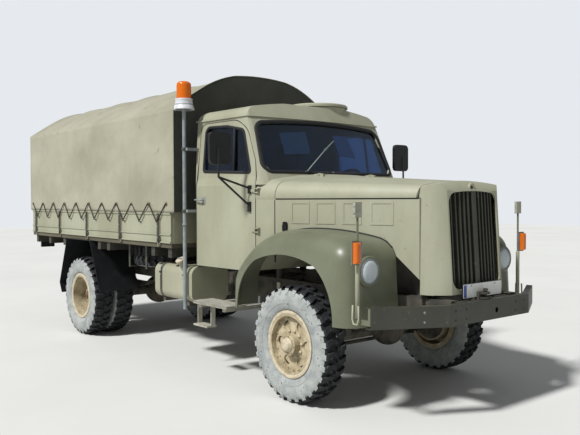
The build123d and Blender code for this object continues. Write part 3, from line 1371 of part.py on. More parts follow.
def tailgate():
    """The rear wall of the bed, hinged along its lower edge."""
    y = TAILGATE_HALF
    gate = block(BED_REAR_X - 28, BED_REAR_X - RUN_GAP, -y, y, FLOOR_TOP_Z + 6, WALL_TOP_Z)
    for z, height in ((FLOOR_TOP_Z + 10, 18.0), (FLOOR_TOP_Z + 92, 14.0), (WALL_TOP_Z - 20, 20.0)):
        gate += block(BED_REAR_X - 34, BED_REAR_X - 26, -y, y, z, z + height)
    for y, (leaf, _) in zip(GATE_HINGE_Y, gate_hinges()):
        gate -= block(BED_REAR_X - 60, BED_REAR_X, y - EAR_OUTER - 6, y + EAR_OUTER + 6,
                      FLOOR_TOP_Z, FLOOR_TOP_Z + 26)
        gate += leaf
    return gate


# Tarpaulin: one closed hood with its front and rear walls

def tarp_section(inset):
    half, eave, top = TARP_HALF - inset, TARP_EAVE_Z, TARP_TOP_Z - inset
    return [
        (half, TARP_HEM_Z), (half, eave), (half - 150, eave + 105, half - 396, eave + 261 - inset),
        (half - 640, top - 62, half - 790, top - 22), (0, top, -half + 790, top - 22),
        (-half + 640, top - 62, -half + 396, eave + 261 - inset), (-half + 150, eave + 105, -half, eave),
        (-half, TARP_HEM_Z),
    ]


def tarp():
    hood = prism(tarp_section(0), "YZ", TARP_REAR_X, TARP_FRONT_X)
    room = prism(tarp_section(TARP_T), "YZ", TARP_REAR_X + TARP_T, TARP_FRONT_X - TARP_T)
    room += block(TARP_REAR_X + TARP_T, TARP_FRONT_X - TARP_T, -TARP_HALF + TARP_T, TARP_HALF - TARP_T,
                  TARP_HEM_Z - 10, TARP_HEM_Z + 10)
    hood -= block(TARP_REAR_X - 1, TARP_REAR_X + 50, -TAILGATE_HALF - 10, TAILGATE_HALF + 10,
                  TARP_HEM_Z - 10, TARP_REAR_HEM_Z)
    return hood - room


# Rear mudguards: a plate folded over each pair of tyres

def mudguard():
    top = FLOOR_LOW_Z - SEAT_GAP
    crest = [(REAR_AXLE_X + ahead, z or top) for ahead, z in MUDGUARD_FOLDS]
    (rise_x, rise_z), (fore_x, _), (aft_x, _), (drop_x, drop_z), (lip_x, lip_z) = crest
    t = MUDGUARD_T
    inner = [(lip_x + t, lip_z + 2), (drop_x + t, drop_z + 1), (aft_x + t - 1, top - t),
             (fore_x - t + 2, top - t), (rise_x - t, rise_z - 3)]
    return prism(crest + inner, "XZ", MUDGUARD_INNER_Y, BED_HALF)


# Beacon

def beacon_stand():
    shape = rod((POLE_X, POLE_Y, POLE_LOW_Z), (POLE_X, POLE_Y, POLE_HIGH_Z), POLE_R)
    foot = Plane(origin=(POLE_X, POLE_Y, POLE_HIGH_Z - 2))
    cone = Solid.make_cone(BEACON_BASE_R, BEACON_DOME_R + 6, 110, foot)
    shape += cone
    for z in (1640.0, 2280.0):
        shape += block(POLE_X - 14, POLE_X + 60, POLE_Y, -CAB_HALF + 80, z - 14, z + 14)
    shape -= cab_lower(-SEAT_GAP)[0]
    return shape - cab_upper(-SEAT_GAP)


def beacon_dome():
    low = POLE_HIGH_Z + 108 + SEAT_GAP
    dome = Solid.make_cylinder(BEACON_DOME_R, BEACON_TOP_Z - low, Plane(origin=(POLE_X, POLE_Y, low)))
    return fillet(dome.edges().sort_by(Axis.Z)[-1], 40)


PIECES = {
    "frame": frame,
    "front_bumper": bumper,
    "tow_fittings": lambda: [front_jaw(), rear_coupling()],
    "axles": axles,
    "leaf_springs": leaf_springs,
    "engine_block": engine_block,
    "gearbox_and_shafts": gearbox_and_shafts,
    "exhaust": exhaust,
    "radiator": radiator,
    "radiator_shell": radiator_shell,
    "grille": grille,
    "bonnet_sides": lambda: pair(bonnet_side()),
    "front_wings": lambda: pair(wing()),
    "headlights": lambda: pair(headlight()),
    "headlight_glass": lambda: pair(headlight_lens()),
    "marker_rods": lambda: pair(marker_rod()),
    "indicators": lambda: pair(indicator()),
    "tail_lamps": lambda: pair(tail_lamp()),
    "cab_body": cab_body,
    "cab_roof": cab_roof,
    "cab_glass": cab_glass,
    "seats": seats,
    "dashboard": dashboard,
    "steering_wheel": steering_wheel,
    "running_boards": lambda: pair(running_board()),
    "fuel_tank": fuel_tank,
    "spare_tyre": spare_tyre,
    "spare_rim": spare_rim,
    "spare_carrier": spare_carrier,
    "bed_frame": bed_frame,
    "bed_floor": bed_floor,
    "bed_walls": bed_walls,
    "tarp": tarp,
    "rear_mudguards": lambda: pair(mudguard()),
    "beacon_stand": beacon_stand,
    "beacon_dome": beacon_dome,
    "bonnet_lid": bonnet_lid,
    "roof_hatch": roof_hatch,
    "tailgate": tailgate,
    "track_rod": track_rod,
}

for name, make in PIECES.items():
    save(name, make())

# The moving pieces that each side has, left from +Y and right as the mirror image
for side_name, side in (("left", 1), ("right", -1)):
    def sided(shape):
        return shape if side > 0 else mirrored(shape)

    save("door_" + side_name, sided(door()))
    save("door_glass_" + side_name, sided(door_glass()))
    save("mirror_" + side_name, sided(mirror_unit()))
    save("knuckle_" + side_name, sided(knuckle()))
    save("front_tyre_" + side_name, at_wheel(tyre(), FRONT_AXLE_X, side * FRONT_WHEEL_Y))
    save("front_rim_" + side_name, at_wheel(front_wheel(), FRONT_AXLE_X, side * FRONT_WHEEL_Y))
    twins = [at_wheel(tyre(), REAR_AXLE_X, side * y) for y in (REAR_INNER_Y, REAR_OUTER_Y)]
    save("rear_tyres_" + side_name, twins)
    save("rear_rims_" + side_name, at_wheel(rear_wheels(), REAR_AXLE_X, side * REAR_TWIN_Y))
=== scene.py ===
# %% [markdown]
# # A canvas-covered cargo truck
# The truck comes in as a finished frame: every panel, axle and wheel is already a mesh at its true size in
# metres, with +X forward, +Y to the truck's left and Z up. This lesson dresses that frame. Hard panels keep
# their shape and only get a paint, while tyres, canvas and seats are replaced by finer meshes, and small
# things such as nuts, ropes and rubber seals are added.

# %% Load the frame and keep its box
import bpy
import bmesh
import math
from mathutils import Matrix, Vector, noise
from mathutils.bvhtree import BVHTree


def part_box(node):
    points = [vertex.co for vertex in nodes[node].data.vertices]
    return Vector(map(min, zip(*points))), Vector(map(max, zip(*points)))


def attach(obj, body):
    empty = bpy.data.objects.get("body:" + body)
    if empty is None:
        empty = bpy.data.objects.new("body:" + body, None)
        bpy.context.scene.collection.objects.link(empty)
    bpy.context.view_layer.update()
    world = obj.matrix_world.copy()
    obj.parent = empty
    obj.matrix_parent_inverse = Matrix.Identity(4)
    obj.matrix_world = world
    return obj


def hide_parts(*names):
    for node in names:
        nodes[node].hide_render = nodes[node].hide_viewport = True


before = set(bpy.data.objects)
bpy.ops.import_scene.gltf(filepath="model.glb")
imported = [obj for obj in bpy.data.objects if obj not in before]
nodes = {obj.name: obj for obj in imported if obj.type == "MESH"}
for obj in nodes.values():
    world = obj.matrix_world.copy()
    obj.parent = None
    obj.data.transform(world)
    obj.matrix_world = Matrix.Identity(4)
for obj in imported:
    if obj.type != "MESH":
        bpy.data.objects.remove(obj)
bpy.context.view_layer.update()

# %% [markdown]
# ## The camera and the light
# The photograph was taken from the truck's front right at eye height with a 43 mm lens. The camera is placed
# first, because everything after it is judged through it. A soft sun, high on the truck's right, gives that
# side its brightness, and an even pale world fills the shade.

# %% Camera
CAMERA_AT = (7.003, -4.845, 1.743)
CAMERA_YAW, CAMERA_PITCH, CAMERA_ROLL = math.radians(140.57), math.radians(-1.37), math.radians(-0.17)

lens = bpy.data.cameras.new("camera")
lens.lens, lens.sensor_width = 43.31, 36.0
lens.clip_end = 200.0
camera = bpy.data.objects.new("camera", lens)
bpy.context.scene.collection.objects.link(camera)
looking = Vector((math.cos(CAMERA_YAW) * math.cos(CAMERA_PITCH),
                  math.sin(CAMERA_YAW) * math.cos(CAMERA_PITCH), math.sin(CAMERA_PITCH)))
camera.rotation_mode = "QUATERNION"
camera.rotation_quaternion = looking.to_track_quat("-Z", "Y") @ Matrix.Rotation(CAMERA_ROLL, 3,
                                                                                "Z").to_quaternion()
camera.location = CAMERA_AT
bpy.context.scene.camera = camera
print("camera at", CAMERA_AT)

# %% [markdown]
# ## Two small helpers for node trees
# A colour is written as its sRGB hex code, as a paint shop would, and one function turns it to the linear
# values that a renderer works in. Another adds a node to any tree, sets its sockets and joins its links, so
# that a whole material reads as a short list.

# %% Colour and node helpers
def hue(code):
    """An sRGB hex code as linear red, green, blue and full alpha."""
    parts = [int(code[i:i + 2], 16) / 255 for i in (0, 2, 4)]
    return tuple(c / 12.92 if c <= 0.04045 else ((c + 0.055) / 1.055) ** 2.4 for c in parts) + (1.0,)


def add(tree, kind, settings=(), links=()):
    """Adds one node. Settings name a property or an input, links an input and the socket that feeds it."""
    node = tree.nodes.new(kind)
    for key, value in dict(settings).items():
        if isinstance(key, str) and key[0].islower():
            setattr(node, key, value)
        else:
            node.inputs[key].default_value = value
    for key, socket in dict(links).items():
        tree.links.new(socket, node.inputs[key])
    return node


print("olive in linear light", [round(c, 3) for c in hue("A2A28D")])

# %% [markdown]
# ## How a surface is made
# Every finish here has the same three layers: a large, slow change of colour from fading and dirt, a fine
# grain at the size of the real texture, and a bump from that grain. One function builds them from real sizes
# in millimetres and returns the shader, so each finish after it only says what is special about it.

# %% The layered finish
def finish(name, base, worn, rough=0.6, patch_mm=450, grain_mm=6, bump=0.15, stretch=(1, 1, 1), metallic=0.0,
           speck=None, speck_share=0.06, dust=None, dust_top=0.9):
    """A Principled material that drifts from base to worn, with fine specks, and dust near the ground."""
    material = bpy.data.materials.new(name)
    material.use_nodes = True
    tree = material.node_tree
    shader = tree.nodes["Principled BSDF"]
    place = add(tree, "ShaderNodeTexCoord")
    spread = add(tree, "ShaderNodeMapping", {"Scale": stretch}, {"Vector": place.outputs["Object"]})
    patches = add(tree, "ShaderNodeTexNoise", {"Scale": 1000 / patch_mm, "Detail": 5.0, "Roughness": 0.62},
                  {"Vector": spread.outputs[0]})
    patch_share = add(tree, "ShaderNodeMapRange", {"From Min": 0.36, "From Max": 0.66},
                      {"Value": patches.outputs["Fac"]})
    colour = add(tree, "ShaderNodeMix", {"data_type": "RGBA", 6: hue(base), 7: hue(worn)},
                 {0: patch_share.outputs[0]}).outputs[2]
    grain = add(tree, "ShaderNodeTexNoise", {"Scale": 1000 / grain_mm, "Detail": 3.0, "Roughness": 0.6},
                {"Vector": place.outputs["Object"]})
    if speck:
        edge = 0.5 + 0.16 * (1 - 3 * speck_share)
        marks = add(tree, "ShaderNodeTexNoise", {"Scale": 1000 / (grain_mm * 6), "Detail": 4.0,
                                                 "Roughness": 0.7},
                    {"Vector": place.outputs["Object"]})
        share = add(tree, "ShaderNodeMapRange", {"From Min": edge, "From Max": edge + 0.05},
                    {"Value": marks.outputs["Fac"]})
        colour = add(tree, "ShaderNodeMix", {"data_type": "RGBA", 7: hue(speck)},
                     {0: share.outputs[0], 6: colour}).outputs[2]
    if dust:
        height = add(tree, "ShaderNodeSeparateXYZ", {}, {"Vector": place.outputs["Object"]})
        low = add(tree, "ShaderNodeMapRange", {"From Min": dust_top, "From Max": 0.25, "To Max": 0.85},
                  {"Value": height.outputs["Z"]})
        cloud = add(tree, "ShaderNodeMath", {"operation": "MULTIPLY"},
                    {0: low.outputs[0], 1: patch_share.outputs[0]})
        colour = add(tree, "ShaderNodeMix", {"data_type": "RGBA", 7: hue(dust)},
                     {0: cloud.outputs[0], 6: colour}).outputs[2]
    tree.links.new(colour, shader.inputs["Base Color"])
    gloss = add(tree, "ShaderNodeMapRange", {"To Min": max(rough - 0.1, 0.02),
                                             "To Max": min(rough + 0.12, 1.0)},
                {"Value": patches.outputs["Fac"]})
    tree.links.new(gloss.outputs[0], shader.inputs["Roughness"])
    relief = add(tree, "ShaderNodeBump", {"Strength": bump, "Distance": grain_mm / 4000},
                 {"Height": grain.outputs["Fac"]})
    tree.links.new(relief.outputs[0], shader.inputs["Normal"])
    shader.inputs["Metallic"].default_value = metallic
    return material


# Alkyd enamel sprayed on steel: matt, chalked by the sun, with small chips and rain dirt running down
olive = finish("chalked_olive_enamel", "A2A28D", "908F79", rough=0.55, patch_mm=700, grain_mm=5, bump=0.06,
               stretch=(1, 1, 0.35), speck="7A7359", speck_share=0.02, dust="A79F88", dust_top=0.8)
# The same paint much darker, on the bumper, grille and spare carrier: partly a darker coat, partly painted
# shade on faces that lie in shade
dark_olive = finish("dark_olive_enamel_with_painted_shade", "3B3C32", "32332B", rough=0.5, patch_mm=350, grain_mm=5,
                    bump=0.08, speck="6C695A", speck_share=0.03)
# Step boards, worn pale by boots
pale_board = finish("scuffed_board_enamel", "B0ADA0", "8F8C7E", rough=0.7, patch_mm=90, grain_mm=4, bump=0.2)
# The wings were sprayed later with a darker, greener and glossier paint
wing_green = finish("glossy_green_olive_enamel", "6C705C", "5F624E", rough=0.38, patch_mm=500, grain_mm=5,
                    bump=0.05, speck="5E5F4C", speck_share=0.02, dust="8C8873", dust_top=0.75)
# Chassis black over forged and rolled steel: road dust lies on it everywhere
chassis_black = finish("dusty_chassis_enamel", "2A2A25", "47443B", rough=0.75, patch_mm=160, grain_mm=4,
                       bump=0.2, speck="6E675A", speck_share=0.06, dust="7D7566", dust_top=1.0)
cast_iron = finish("sand_cast_iron", "3E3C38", "56514A", rough=0.8, patch_mm=120, grain_mm=3, bump=0.35)
pipe_rust = finish("heat_scaled_steel_pipe", "5A4A40", "7A5B45", rough=0.85, patch_mm=90, grain_mm=3,
                   bump=0.3)
core_black = finish("radiator_core_lacquer", "1C1D1C", "2A2A28", rough=0.7, patch_mm=60, grain_mm=4, bump=0.4)
black_gloss = finish("baked_black_enamel", "0C0D10", "17181B", rough=0.5, patch_mm=120, grain_mm=3, bump=0.04)
rim_tan = finish("dusty_wheel_enamel", "BCAF92", "8E8267", rough=0.75, patch_mm=90, grain_mm=4, bump=0.18,
                 speck="5A5040", speck_share=0.1)
pole_grey = finish("galvanised_tube", "8A9294", "737B7E", rough=0.4, patch_mm=70, grain_mm=3, bump=0.05)
lamp_white = finish("white_moulded_plastic", "D8D8DC", "BFC0C6", rough=0.45, patch_mm=60, grain_mm=2,
                    bump=0.03)
planks = finish("tarred_spruce_planks", "625D4C", "4A4639", rough=0.85, patch_mm=220, grain_mm=8, bump=0.4,
                stretch=(0.12, 1, 1))
print("paints", len(bpy.data.materials))

# %% Glass, lamp plastics and rubber
def clear(name, tint, rough, ior, ripple_mm, ripple, through=1.0):
    """A see-through material with a faint ripple. Through is the share of light that it doesn't scatter."""
    material = finish(name, tint, tint, rough=rough, patch_mm=300, grain_mm=ripple_mm, bump=ripple)
    shader = material.node_tree.nodes["Principled BSDF"]
    shader.inputs["Transmission Weight"].default_value = through
    shader.inputs["IOR"].default_value = ior
    return material


# The blue colour of the glass is a painted reflection of the sky
window_glass = clear("float_glass_with_painted_sky_reflection", "6480A4", 0.03, 1.45, 400, 0.02)
# Ribbed lamp glass scatters about half of the light, and thick lens plastic most of it
lamp_glass = clear("pressed_lamp_glass", "E6EEF2", 0.05, 1.5, 9, 0.5, 0.45)
orange_lens = clear("orange_acrylic", "E87410", 0.12, 1.49, 12, 0.3, 0.25)
rubber_seal = finish("extruded_rubber", "0E0F11", "191A1C", rough=0.75, patch_mm=80, grain_mm=2, bump=0.08)
tread_rubber = finish("tread_rubber", "141518", "242629", rough=0.8, patch_mm=60, grain_mm=4, bump=0.3,
                      speck="6F6C66", speck_share=0.08)
wall_rubber = finish("dusty_sidewall_rubber", "A5A8A4", "858A8A", rough=0.85, patch_mm=110, grain_mm=4,
                     bump=0.2, speck="4C5054", speck_share=0.1)
polished = finish("silvered_glass", "D4E0EE", "BCCBDC", rough=0.08, patch_mm=80, grain_mm=5, bump=0.01,
                  metallic=1.0)
plate_white = finish("reflective_plate_film", "DDDEDA", "CFD0CC", rough=0.4, patch_mm=80, grain_mm=2,
                     bump=0.03)
hemp = finish("tarred_hemp_rope", "3C382F", "2A2721", rough=0.9, patch_mm=40, grain_mm=3, bump=0.6)
brass = finish("brass_eyelet", "9A8858", "6F6344", rough=0.4, patch_mm=20, grain_mm=2, bump=0.05,
               metallic=1.0)
print("all finishes", len(bpy.data.materials))

# %% [markdown]
# ## Woven materials
# Canvas is two sets of threads crossing over and under. Two wave textures at right angles give that weave,
# scaled to the real thread. At the distance of the photograph a 0.8 mm thread can't be seen, so the weave is
# drawn 6 mm wide, which reads as coarse cloth. The pattern follows the cloth's own flat coordinates, kept as
# a UV map.

# %% Canvas and seat cover
def woven(name, base, worn, stain, thread_mm, rough, bump):
    """Cloth with a plain weave along its UV map, whose units are metres of flat cloth."""
    material = finish(name, base, worn, rough=rough, patch_mm=900, grain_mm=30, bump=0.25, speck=stain,
                      speck_share=0.03)
    tree = material.node_tree
    shader = tree.nodes["Principled BSDF"]
    flat = add(tree, "ShaderNodeUVMap", {"uv_map": "flat"})
    height = None
    for direction in ("X", "Y"):
        wave = add(tree, "ShaderNodeTexWave", {"bands_direction": direction,
                                               "Scale": 1000 / thread_mm / 6.28 * 0.5,
                                               "Distortion": 0.6}, {"Vector": flat.outputs[0]})
        if height is None:
            height = wave.outputs["Fac"]
        else:
            height = add(tree, "ShaderNodeMath", {"operation": "MAXIMUM"},
                         {0: height, 1: wave.outputs["Fac"]}).outputs[0]
    old = shader.inputs["Normal"].links[0].from_socket
    weave = add(tree, "ShaderNodeBump", {"Strength": bump, "Distance": thread_mm / 5000},
                {"Height": height, "Normal": old})
    tree.links.new(weave.outputs[0], shader.inputs["Normal"])
    shader.inputs["Sheen Weight"].default_value = 0.15
    return material


canvas = woven("waxed_cotton_canvas", "A19E8A", "8B8874", "7C785F", 6.0, 0.85, 0.25)
# The front curtain is the same canvas in a much darker colour: painted shade for the side that faces away
# from the sun
painted_shade_canvas = woven("canvas_with_painted_shade", "4A4B44", "3B3C36", "2E2F2A", 6.0, 0.85, 0.25)
seat_cloth = woven("seat_vinyl", "3A342C", "2C2822", "1E1B18", 4.0, 0.5, 0.2)
print("woven", canvas.name, seat_cloth.name)

# %% [markdown]
# ## Paint for the panels that keep their shape
# A short table says which finish each carried-over node has. The CAD node stays as it is, and only its
# material slot is filled.

# %% Give each node its finish
PAINT = {
    olive: ["cab_body", "cab_roof", "bonnet_lid", "bonnet_sides", "radiator_shell", "roof_hatch", "bed_walls",
            "tailgate", "fuel_tank", "door_left", "door_right"],
    pale_board: ["running_boards"],
    wing_green: ["front_wings", "headlights", "marker_rods"],
    dark_olive: ["front_bumper", "grille", "spare_carrier"],
    chassis_black: ["frame", "tow_fittings", "axles", "leaf_springs", "track_rod", "bed_frame",
                    "knuckle_left", "knuckle_right"],
    cast_iron: ["gearbox_and_shafts", "engine_block"],
    pipe_rust: ["exhaust"],
    core_black: ["radiator"],
    window_glass: ["cab_glass", "door_glass_left", "door_glass_right"],
    lamp_glass: ["headlight_glass"],
    orange_lens: ["indicators", "beacon_dome"],
    # The rear mudguards' black is partly painted shade for their forward-facing plates, which lie in shade
    black_gloss: ["tail_lamps", "rear_mudguards", "steering_wheel", "dashboard", "mirror_left",
                  "mirror_right"],
    seat_cloth: ["seats"],
    planks: ["bed_floor"],
    canvas: ["tarp"],
    pole_grey: ["beacon_stand"],
    wall_rubber: ["front_tyre_left", "front_tyre_right", "rear_tyres_left", "rear_tyres_right", "spare_tyre"],
    rim_tan: ["front_rim_left", "front_rim_right", "rear_rims_left", "rear_rims_right", "spare_rim"],
}
for material, names in PAINT.items():
    for name in names:
        nodes[name].data.materials.clear()
        nodes[name].data.materials.append(material)
unpainted = sorted(set(nodes) - {name for names in PAINT.values() for name in names})
print("nodes without a finish", unpainted)

# %% [markdown]
# ## Meshes from a few numbers
# Most added pieces are one of four things: a mesh from listed corners, an outline turned round the axle, a
# beaded slab, or a join of such meshes. Each helper leaves its object at the origin with its place in the
# mesh.

# %% Mesh helpers
BOTH_SIDES = (("left", 1), ("right", -1))


def placed(name, mesh):
    """A new object with this mesh, at the origin."""
    made = bpy.data.objects.new(name, mesh)
    bpy.context.scene.collection.objects.link(made)
    return made


def baked(made):
    """The mesh that an object's modifiers make of it."""
    return bpy.data.meshes.new_from_object(made.evaluated_get(bpy.context.evaluated_depsgraph_get()))


def triangles(made):
    return sum(len(face.vertices) - 2 for face in made.data.polygons)


def mesh_object(name, corners, faces, material, smooth=False):
    mesh = bpy.data.meshes.new(name)
    mesh.from_pydata([tuple(c) for c in corners], [], faces)
    mesh.materials.append(material)
    mesh.polygons.foreach_set("use_smooth", [smooth] * len(mesh.polygons))
    return placed(name, mesh)


def face_outwards(made):
    """Merges doubles and turns all faces outwards."""
    shape = bmesh.new()
    shape.from_mesh(made.data)
    bmesh.ops.remove_doubles(shape, verts=shape.verts, dist=1e-5)
    bmesh.ops.recalc_face_normals(shape, faces=shape.faces)
    shape.to_mesh(made.data)
    shape.free()
    return made


def joined(name, parts):
    """One object from several, with each part's materials kept."""
    slots, corners, faces, kinds, smooth = [], [], [], [], []
    for part in parts:
        start = len(corners)
        corners += [v.co.copy() for v in part.data.vertices]
        for face in part.data.polygons:
            faces.append([start + i for i in face.vertices])
            material = part.data.materials[face.material_index]
            if material not in slots:
                slots.append(material)
            kinds.append(slots.index(material))
            smooth.append(face.use_smooth)
        bpy.data.objects.remove(part)
    made = mesh_object(name, corners, faces, slots[0])
    for material in slots[1:]:
        made.data.materials.append(material)
    made.data.polygons.foreach_set("material_index", kinds)
    made.data.polygons.foreach_set("use_smooth", smooth)
    return made


def turned(name, profile, steps, material, centre=(0, 0, 0), axis="Y"):
    """Turns a closed profile of (along the axis, radius) round an axle through centre."""
    corners, count = [], len(profile)
    for step in range(steps):
        angle = 2 * math.pi * step / steps
        for along, radius in profile:
            a, b = radius * math.cos(angle), radius * math.sin(angle)
            corner = {"Y": (b, along, a), "X": (along, a, b), "Z": (a, b, along)}[axis]
            corners.append(Vector(corner) + Vector(centre))
    faces = []
    for step in range(steps):
        here, there = step * count, (step + 1) % steps * count
        for i in range(count):
            j = (i + 1) % count
            faces.append((here + i, here + j, there + j, there + i))
    return face_outwards(mesh_object(name, corners, faces, material, smooth=True))


def slab(name, low, high, material, bead=0.003, turn=None):
    """A box between two corners with its edges rounded by bead, turned by a matrix if one is given."""
    shape = bmesh.new()
    bmesh.ops.create_cube(shape, size=1.0)
    low, high = Vector(low), Vector(high)
    size = high - low
    for v in shape.verts:
        v.co = Vector(a * b for a, b in zip(v.co, size))
    bead = min(bead, min(size) * 0.45)
    bmesh.ops.bevel(shape, geom=list(shape.edges), offset=bead, segments=2, affect="EDGES")
    for v in shape.verts:
        v.co = (turn @ v.co if turn else v.co) + (low + high) / 2
    mesh = bpy.data.meshes.new(name)
    shape.to_mesh(mesh)
    shape.free()
    mesh.materials.append(material)
    return placed(name, mesh)


def side_slab(name, side, low, high, material, bead=0.003):
    """A slab given for the left side (1), and mirrored for the right (-1)."""
    (x0, y0, z0), (x1, y1, z1) = low, high
    y0, y1 = sorted((side * y0, side * y1))
    return slab(name, (x0, y0, z0), (x1, y1, z1), material, bead)


def facing(side, profile):
    """An outline for turning, with its outer end towards +Y (1) or -Y (-1)."""
    return [(side * along, radius) for along, radius in profile]


print("mesh helpers ready")

# %% [markdown]
# ## Geometry Nodes that repeat a shape
# Three small trees do all the repeating on this truck. The first sets copies of a shape in a ring round an
# axle, the second in a row, and the third runs a round section along a chain of edges. Each has named inputs,
# realizes its instances, and is then turned to a plain mesh.

# %% Tree helpers
def new_tree(name, sizes):
    """An empty tree with one named input for each size, given as (socket kind, default)."""
    tree = bpy.data.node_groups.new(name, "GeometryNodeTree")
    tree.interface.new_socket("Shape", in_out="INPUT", socket_type="NodeSocketGeometry")
    for label, (kind, value) in sizes.items():
        socket = tree.interface.new_socket(label, in_out="INPUT", socket_type="NodeSocket" + kind)
        if value is not None:
            socket.default_value = value
    tree.interface.new_socket("Result", in_out="OUTPUT", socket_type="NodeSocketGeometry")
    return tree, add(tree, "NodeGroupInput")


def close_tree(tree, shape, inlet):
    """Realizes what the tree made, gives it the material and sends it out."""
    real = add(tree, "GeometryNodeRealizeInstances", {}, {0: shape})
    painted = add(tree, "GeometryNodeSetMaterial", {},
                  {"Geometry": real.outputs[0], "Material": inlet.outputs["Material"]})
    add(tree, "NodeGroupOutput", {}, {0: painted.outputs[0]})


def grown(name, source, tree, values):
    """Runs a tree on an object and returns the result as a plain mesh object."""
    modifier = source.modifiers.new("tree", "NODES")
    modifier.node_group = tree
    sockets = {item.name: item.identifier for item in tree.interface.items_tree if item.in_out == "INPUT"}
    for label, value in values.items():
        modifier[sockets[label]] = value
    bpy.context.view_layer.update()
    mesh = baked(source)
    bpy.data.objects.remove(source)
    return placed(name, mesh)


ring_tree, ring_in = new_tree("ring_round_axle", {
    "Count": ("Int", 8), "First angle": ("Float", 0.0), "Centre": ("Vector", (0, 0, 0)),
    "Material": ("Material", None)})
points = add(ring_tree, "GeometryNodePoints", {}, {"Count": ring_in.outputs["Count"]})
number = add(ring_tree, "GeometryNodeInputIndex")
step = add(ring_tree, "ShaderNodeMath", {"operation": "DIVIDE", 0: 2 * math.pi},
           {1: ring_in.outputs["Count"]})
angle = add(ring_tree, "ShaderNodeMath", {"operation": "MULTIPLY_ADD"},
            {0: number.outputs[0], 1: step.outputs[0], 2: ring_in.outputs["First angle"]})
spin = add(ring_tree, "ShaderNodeCombineXYZ", {}, {"Y": angle.outputs[0]})
copies = add(ring_tree, "GeometryNodeInstanceOnPoints", {},
             {"Points": points.outputs[0], "Instance": ring_in.outputs["Shape"], "Rotation": spin.outputs[0]})
moved = add(ring_tree, "GeometryNodeTransform", {},
            {"Geometry": copies.outputs[0], "Translation": ring_in.outputs["Centre"]})
close_tree(ring_tree, moved.outputs[0], ring_in)

row_tree, row_in = new_tree("row_of_copies", {
    "Count": ("Int", 8), "Step": ("Vector", (0.1, 0, 0)), "Material": ("Material", None)})
number = add(row_tree, "GeometryNodeInputIndex")
place = add(row_tree, "ShaderNodeVectorMath", {"operation": "SCALE"},
            {0: row_in.outputs["Step"], "Scale": number.outputs[0]})
points = add(row_tree, "GeometryNodePoints", {},
             {"Count": row_in.outputs["Count"], "Position": place.outputs[0]})
copies = add(row_tree, "GeometryNodeInstanceOnPoints", {},
             {"Points": points.outputs[0], "Instance": row_in.outputs["Shape"]})
close_tree(row_tree, copies.outputs[0], row_in)

tube_tree, tube_in = new_tree("round_section_along_edges", {
    "Radius": ("Float", 0.01), "Sides": ("Int", 8), "Material": ("Material", None)})
path = add(tube_tree, "GeometryNodeMeshToCurve", {}, {0: tube_in.outputs["Shape"]})
section = add(tube_tree, "GeometryNodeCurvePrimitiveCircle", {},
              {"Resolution": tube_in.outputs["Sides"], "Radius": tube_in.outputs["Radius"]})
tube = add(tube_tree, "GeometryNodeCurveToMesh", {"Fill Caps": True},
           {"Curve": path.outputs[0], "Profile Curve": section.outputs[0]})
close_tree(tube_tree, tube.outputs[0], tube_in)


def ring(name, source, count, material, centre, first=0.0):
    return grown(name, source, ring_tree,
                 {"Count": count, "First angle": first, "Centre": centre, "Material": material})


def row(name, source, count, step, material):
    return grown(name, source, row_tree, {"Count": count, "Step": step, "Material": material})


def tube_along(name, lines, radius, material, sides=8, closed=False):
    """A round bar along each line of points."""
    corners, edges = [], []
    for line in lines:
        start = len(corners)
        corners += [tuple(p) for p in line]
        edges += [(start + i, start + i + 1) for i in range(len(line) - 1)]
        if closed:
            edges.append((start + len(line) - 1, start))
    mesh = bpy.data.meshes.new(name)
    mesh.from_pydata(corners, edges, [])
    made = grown(name, placed(name, mesh), tube_tree,
                 {"Radius": radius, "Sides": sides, "Material": material})
    made.data.polygons.foreach_set("use_smooth", [True] * len(made.data.polygons))
    return made


print("trees", [tree.name for tree in bpy.data.node_groups])

# %% [markdown]
# ## Tyres
# A cross-country tyre is a plain carcass with heavy slanted lugs, left and right halves staggered by half a
# step. Modelling each lug by hand would be slow, so one lug is built from five sections across the tread, and
# the ring tree sets thirty of them round each half. The sidewalls and the lugs' outer ends are pale with dust
# and the tread is dark, so each has its own rubber.

# %% One tyre
TYRE_R, LUG_COUNT = 0.505, 30
TREAD_FROM_R, DUSTY_FROM_Y = 0.462, 0.1185
CARCASS = [(0.0945, 0.2565), (0.0945, 0.297), (0.104, 0.303), (0.116, 0.322), (0.1235, 0.350),
           (0.1265, 0.385), (0.1262, 0.420), (0.122, 0.447), (0.112, 0.467), (0.094, 0.477), (0.050, 0.481)]
# columns: across the tread, lug's rear and front edge along it, height of its top, height of its foot
LUG = [(0.003, -0.030, 0.016, 0.5045, 0.470), (0.042, -0.008, 0.040, 0.5045, 0.470),
       (0.062, -0.018, 0.034, 0.504, 0.468),
       (0.100, -0.040, 0.016, 0.4985, 0.462), (0.1135, -0.040, 0.014, 0.486, 0.452),
       (0.1268, -0.036, 0.010, 0.452, 0.436)]


def lug(side):
    """One tread lug above the axle, on the outer (side 1) or inner (side -1) half."""
    corners = []
    for across, rear, front, top, foot in LUG:
        for along, radius in ((rear, foot), (rear + 0.003, top), (front - 0.003, top), (front, foot)):
            angle = side * along / TYRE_R
            corners.append((radius * math.sin(angle), side * across, radius * math.cos(angle)))
    faces = [(0, 1, 2, 3), (23, 22, 21, 20)]
    for i in range(len(LUG) - 1):
        a = i * 4
        for b in range(4):
            c = (b + 1) % 4
            faces.append((a + b, a + 4 + b, a + 4 + c, a + c))
    return face_outwards(mesh_object("lug", corners, faces, tread_rubber))


